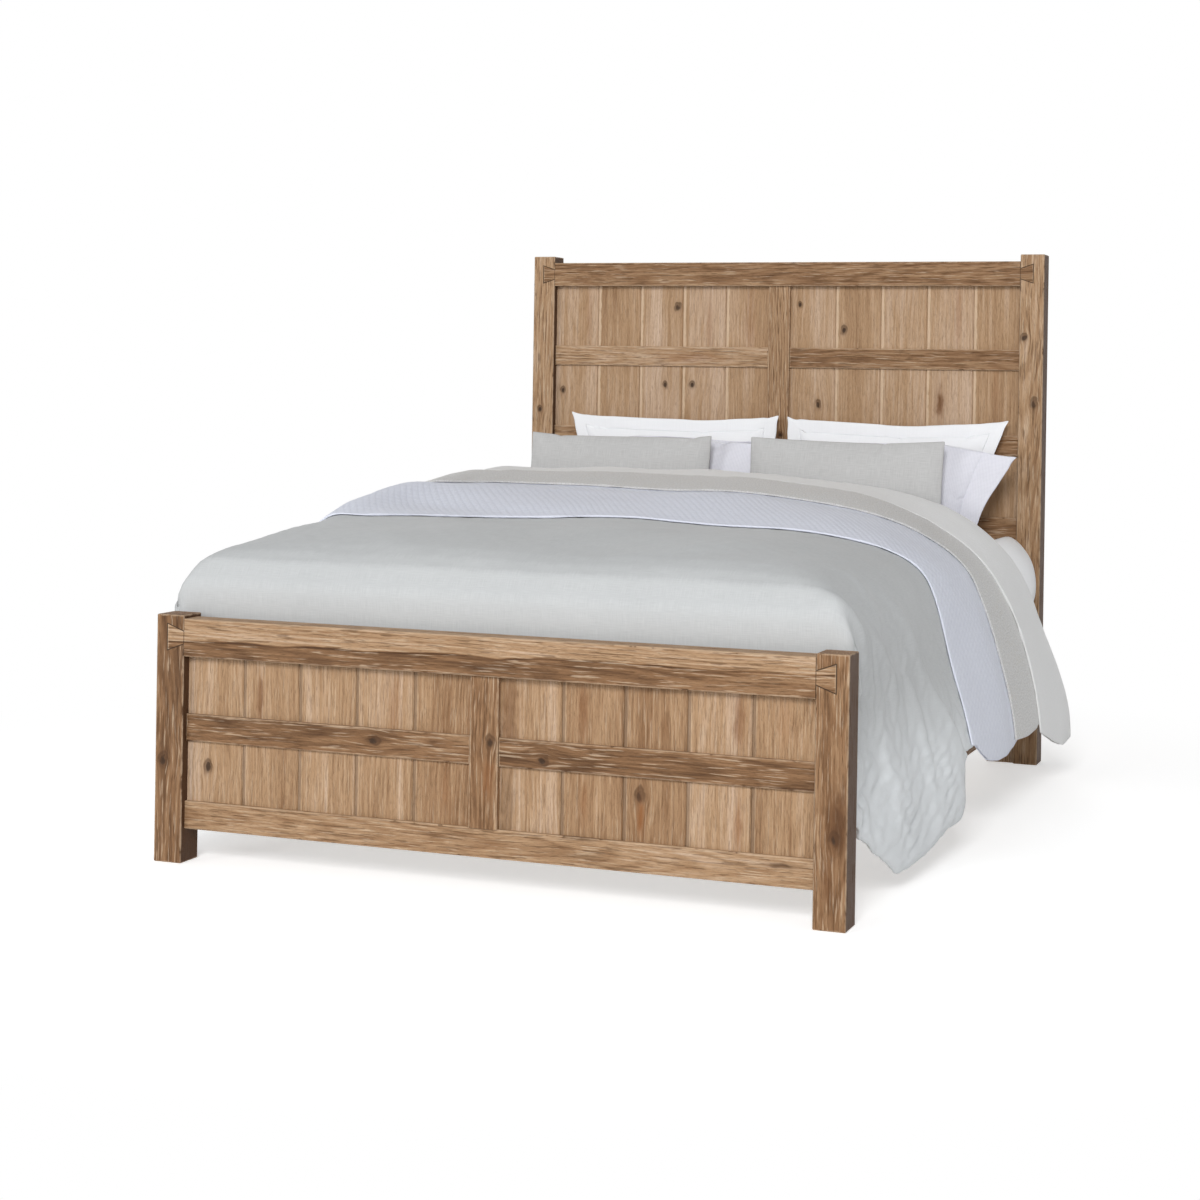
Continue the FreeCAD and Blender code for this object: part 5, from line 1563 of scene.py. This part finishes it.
SHEET_PALE = colour(0.94, 0.945, 0.955)
SHEET_DARK = colour(0.89, 0.895, 0.905)


def gathered(loops):
    """Tight under the bedding and at both ends, loose with soft upright gathers beside the pillows."""
    half_width, half_length = MATTRESS_HALF
    x, y, z = (loops[:, :, axis].copy() for axis in range(3))
    loose = ease(*SHEET_LOOSE, y)
    end_spread = np.abs(y) - half_length
    end_kept = np.where(end_spread > 0, end_spread * SHEET_END_ROOM, end_spread)
    gather = ripple(y, z * GATHER["stretch"], GATHER["seed"], GATHER["length"]) * GATHER["height"]
    side_spread = np.abs(x) - half_width
    side_kept = side_spread * (SHEET_TIGHT + (1 - SHEET_TIGHT) * loose)
    side_kept = side_kept + gather * ease(*GATHER["below"], z) * loose
    edge = half_width + np.where(side_spread > 0, side_kept, side_spread)
    z = z + SHEET_LIFT * loose * bell(edge, *SHEET_LIFT_PLACE)
    z = z - SHEET_SAG * (1 - loose) * ease(*SHEET_SAG_OUT, edge) * ease(*SHEET_SAG_ABOVE, z)
    return np.stack([np.sign(x) * edge, np.sign(y) * (half_length + end_kept), z], axis=2)


def make_fitted_sheet():
    down = [tuple(point) for point in smooth_line(SHEET_INNER, SHEET_STEPS)]
    up = [tuple(point) for point in smooth_line(SHEET_OUTER, SHEET_STEPS)[::-1]]
    piece = looped_piece("fitted_sheet", (0.0, 0.0), down + up, *MATTRESS_HALF, SHEET_CORNER, gathered)
    percale = woven("white_percale", SHEET_PALE, SHEET_DARK, **PERCALE)
    dress(piece, percale, "top_sheet", "white_cotton")


# Pillows
PILLOW_COLUMNS = 60
PILLOW_ROWS = 36
PILLOW_LEAN = math.radians(8)
PILLOW_START = 0.015
PILLOW_UNEVEN = {"height": 0.004, "length": 0.22}
PILLOW_FRAMES = 18
PILLOW_PRESSURE = 5.0
PILLOW_BEND = 0.25
PILLOW_LEAST_DEPTH = 0.05
PILLOW_PLUMP = 0.030
PILLOW_TAPER = 0.30
SMOOTH_REACH = 5
FLANGE_STEPS = 4
FLANGE_ROOT = 0.35
FLANGE_HALF = 0.0022
FLANGE_LIP = 0.6
FLANGE_WAVE = {"height": 0.005, "length": 0.55}
CORNER_SHARPNESS = 6
DRAWN_CURVE = 0.9
DRAWN_SPAN = (0.25, 1.0)
SOFT_SEAM = 0.24
FIRM_SEAM = 0.28
BORDER_ALL = (0.042, 0.042, 0.042)
PILLOW_SEED = 11
# Pale and dark shades of each row's cloth
PILLOW_WHITE = (colour(0.92, 0.93, 0.95), colour(0.86, 0.87, 0.89))
PILLOW_LAVENDER = (colour(0.78, 0.78, 0.845), colour(0.71, 0.71, 0.775))
PILLOW_GREY = (colour(0.585, 0.583, 0.578), colour(0.46, 0.458, 0.454))
# Row, side and what sets each pillow apart
PILLOWS = [
    ("back", "left", {"flange": BORDER_ALL, "drawn": (0.10, 0.03)}),
    ("back", "right", {"flange": BORDER_ALL, "drawn": (0.03, 0.13)}),
    ("middle", "left", {"flange": (0.10, 0.006, 0.006), "drawn": (0.10, 0.02), "slump": (0.05, 0.02)}),
    ("middle", "right", {"flange": (0.006, 0.10, 0.006), "drawn": (0.02, 0.14), "slump": (0.02, 0.05)}),
    ("front", "left", {"seam_hold": FIRM_SEAM}),
    ("front", "right", {"seam_hold": FIRM_SEAM}),
]


def pillow_body(width, height, seed, seam_hold):
    """Front and back faces sewn round the edge and blown up, in the plane of X and Z."""
    across = np.linspace(-width / 2, width / 2, PILLOW_COLUMNS)
    up = np.linspace(0, height, PILLOW_ROWS)
    x, z = np.meshgrid(across, up)
    round_x = 1 - (2 * x / width) ** 2
    round_z = 1 - (2 * z / height - 1) ** 2
    swell = np.clip(round_x * round_z, 0, 1)
    uneven = ripple(x, z, seed, PILLOW_UNEVEN["length"]) * PILLOW_UNEVEN["height"] * swell
    depth = PILLOW_START * swell**0.5
    front = np.stack([x, -depth + uneven, z], axis=2).reshape(-1, 3)
    back = np.stack([x, depth + uneven, z], axis=2).reshape(-1, 3)
    edge = border(PILLOW_ROWS, PILLOW_COLUMNS)
    index = np.arange(len(front))
    inside = np.setdiff1d(index, edge)
    back_index = index.copy()
    back_index[inside] = len(front) + np.arange(len(inside))
    front_faces = grid_faces(PILLOW_ROWS, PILLOW_COLUMNS)
    faces = front_faces + back_index[np.array(front_faces)[:, ::-1]].tolist()
    points = np.vstack([front, back[inside]])
    hold = np.zeros(len(points))
    hold[edge] = seam_hold
    points = cloth_settle(points, faces, hold, PILLOW_FRAMES, PILLOW_BEND, pressure=PILLOW_PRESSURE)
    return points, faces, edge


def smoothed_ring(ring):
    """A closed run of points with its small bends taken out."""
    shifts = range(-SMOOTH_REACH, SMOOTH_REACH + 1)
    return np.mean([np.roll(ring, shift, axis=0) for shift in shifts], axis=0)


def flange_rings(seam, size, flange, seed):
    """Rings of a flat border round a seam, out along its front face and in along its back face."""
    at_left, at_right, at_long = flange
    nearness = 2 * np.abs(seam) / size
    corner = np.clip(nearness[:, 0] * nearness[:, 2], 0, 1)[:, None] ** CORNER_SHARPNESS
    even = seam * corner + smoothed_ring(seam) * (1 - corner)
    grow_side = np.where(seam[:, 0] < 0, at_left, at_right) * 2 / size[0]
    grow = np.stack([grow_side, grow_side * 0, grow_side * 0 + 2 * at_long / size[2]], axis=1)
    turn = np.arange(len(seam)) / len(seam) * TURN
    wave = FLANGE_WAVE["height"] * ripple(np.cos(turn), np.sin(turn), seed + 3, FLANGE_WAVE["length"])
    rings = []
    out = list(range(FLANGE_STEPS + 1))
    for face, steps in ((-1, out), (1, out[::-1])):
        for step in steps:
            share = (step - FLANGE_ROOT) / (FLANGE_STEPS - FLANGE_ROOT)
            eased = max(share, 0.0) ** 0.5
            half = FLANGE_HALF if step < FLANGE_STEPS else FLANGE_HALF * FLANGE_LIP
            ring = (seam * (1 - eased) + even * eased) * (1 + grow * share)
            ring[:, 1] += wave * share + face * half
            rings.append(ring)
    return rings


def stood(points, tall, low, high, drawn, slump):
    """The pillow drawn in and slumped at its sides, leaning back in its box."""
    for sign, pull, fall in zip((-1, 1), drawn, slump):
        outward = ease(*DRAWN_SPAN, points[:, 0] * sign / ((high.x - low.x) / 2))
        up = np.clip(points[:, 2] / tall, 0, 1)
        points[:, 0] -= sign * pull * outward * (1 - up) ** DRAWN_CURVE
        points[:, 2] -= fall * outward * up
    points = points @ np.array(Matrix.Rotation(-PILLOW_LEAN, 3, "X")).T
    points[:, 0] += (low.x + high.x) / 2
    points[:, 1] += (low.y + high.y) / 2 - (points[:, 1].max() + points[:, 1].min()) / 2
    points[:, 2] += low.z - points[:, 2].min()
    return points


def soften(piece):
    bpy.ops.object.select_all(action="DESELECT")
    piece.select_set(True)
    bpy.context.view_layer.objects.active = piece
    smoother = piece.modifiers.new("soften", "SUBSURF")
    smoother.levels = 1
    smoother.render_levels = 1
    bpy.ops.object.modifier_apply(modifier="soften")


def make_pillow(
    node, name, slot, cloth, seed, flange=(0, 0, 0), seam_hold=SOFT_SEAM, drawn=(0, 0), slump=(0, 0)
):
    """A pillow standing in its node's box.

    The flange is its width at the left, right and both long edges. Each side may be drawn in
    towards its foot, and its upper corner may slump.
    """
    low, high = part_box(node)
    box = high - low
    at_left, at_right, at_long = flange
    tall = box.z / math.cos(PILLOW_LEAN)
    deep = max(box.y - box.z * math.tan(PILLOW_LEAN), PILLOW_LEAST_DEPTH) + PILLOW_PLUMP
    size = np.array([box.x - at_left - at_right, deep, tall - 2 * at_long])
    points, faces, edge = pillow_body(size[0], size[2], seed, seam_hold)
    most, least = points.max(axis=0), points.min(axis=0)
    points = (points - (most + least) / 2) * (size / (most - least))
    points[:, 1] *= 1 - PILLOW_TAPER * points[:, 2] / size[2]
    if any(flange):
        rings = flange_rings(points[edge], size, flange, seed)
        index = len(points) + np.arange(len(rings) * len(edge)).reshape(len(rings), -1)
        for first, second in zip(index, np.roll(index, -1, axis=0)):
            faces += band_faces(second, first)
        points = np.vstack([points] + rings)
    cut = points[:, [0, 2]].copy()
    points += ((at_left - at_right) / 2, 0.0, tall / 2)
    piece = new_piece(name, stood(points, tall, low, high, drawn, slump), faces, cut)
    soften(piece)
    dress(piece, cloth, node, slot)


def make_pillows():
    percale = woven("pillow_percale", *PILLOW_WHITE, **PERCALE)
    quilt = quilted("pillow_matelasse", *PILLOW_LAVENDER, pitch=0.020, relief=0.0010)
    linen = woven("pillow_linen", *PILLOW_GREY, **PILLOW_LINEN)
    rows = {
        "back": ("white_cotton", percale),
        "middle": ("matelasse", quilt),
        "front": ("linen_pillow", linen),
    }
    for seed, (row, side, facts) in enumerate(PILLOWS, PILLOW_SEED):
        make_pillow(f"pillow_{row}_{side}", f"{row}_pillow_{side}", *rows[row], seed, **facts)


add_camera()
add_world()
add_floor()
for lamp_name, lamp_facts in LAMPS.items():
    add_lamp(lamp_name, **lamp_facts)
scene.view_settings.view_transform = "Standard"
finish_frame_oak()
finish_boards()
finish_plain_wood()
finish_steel()
ticking = ticking_finish()
make_ticking_block("box_spring_cover", "box_spring", ticking)
make_ticking_block("mattress_cover", "mattress", ticking)
make_fitted_sheet()
make_duvet()
make_coverlet()
make_blanket()
make_pillows()

boxes = {"cad": cad_box, "visual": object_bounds()}
{name: [list(corner) for corner in box] for name, box in boxes.items()}
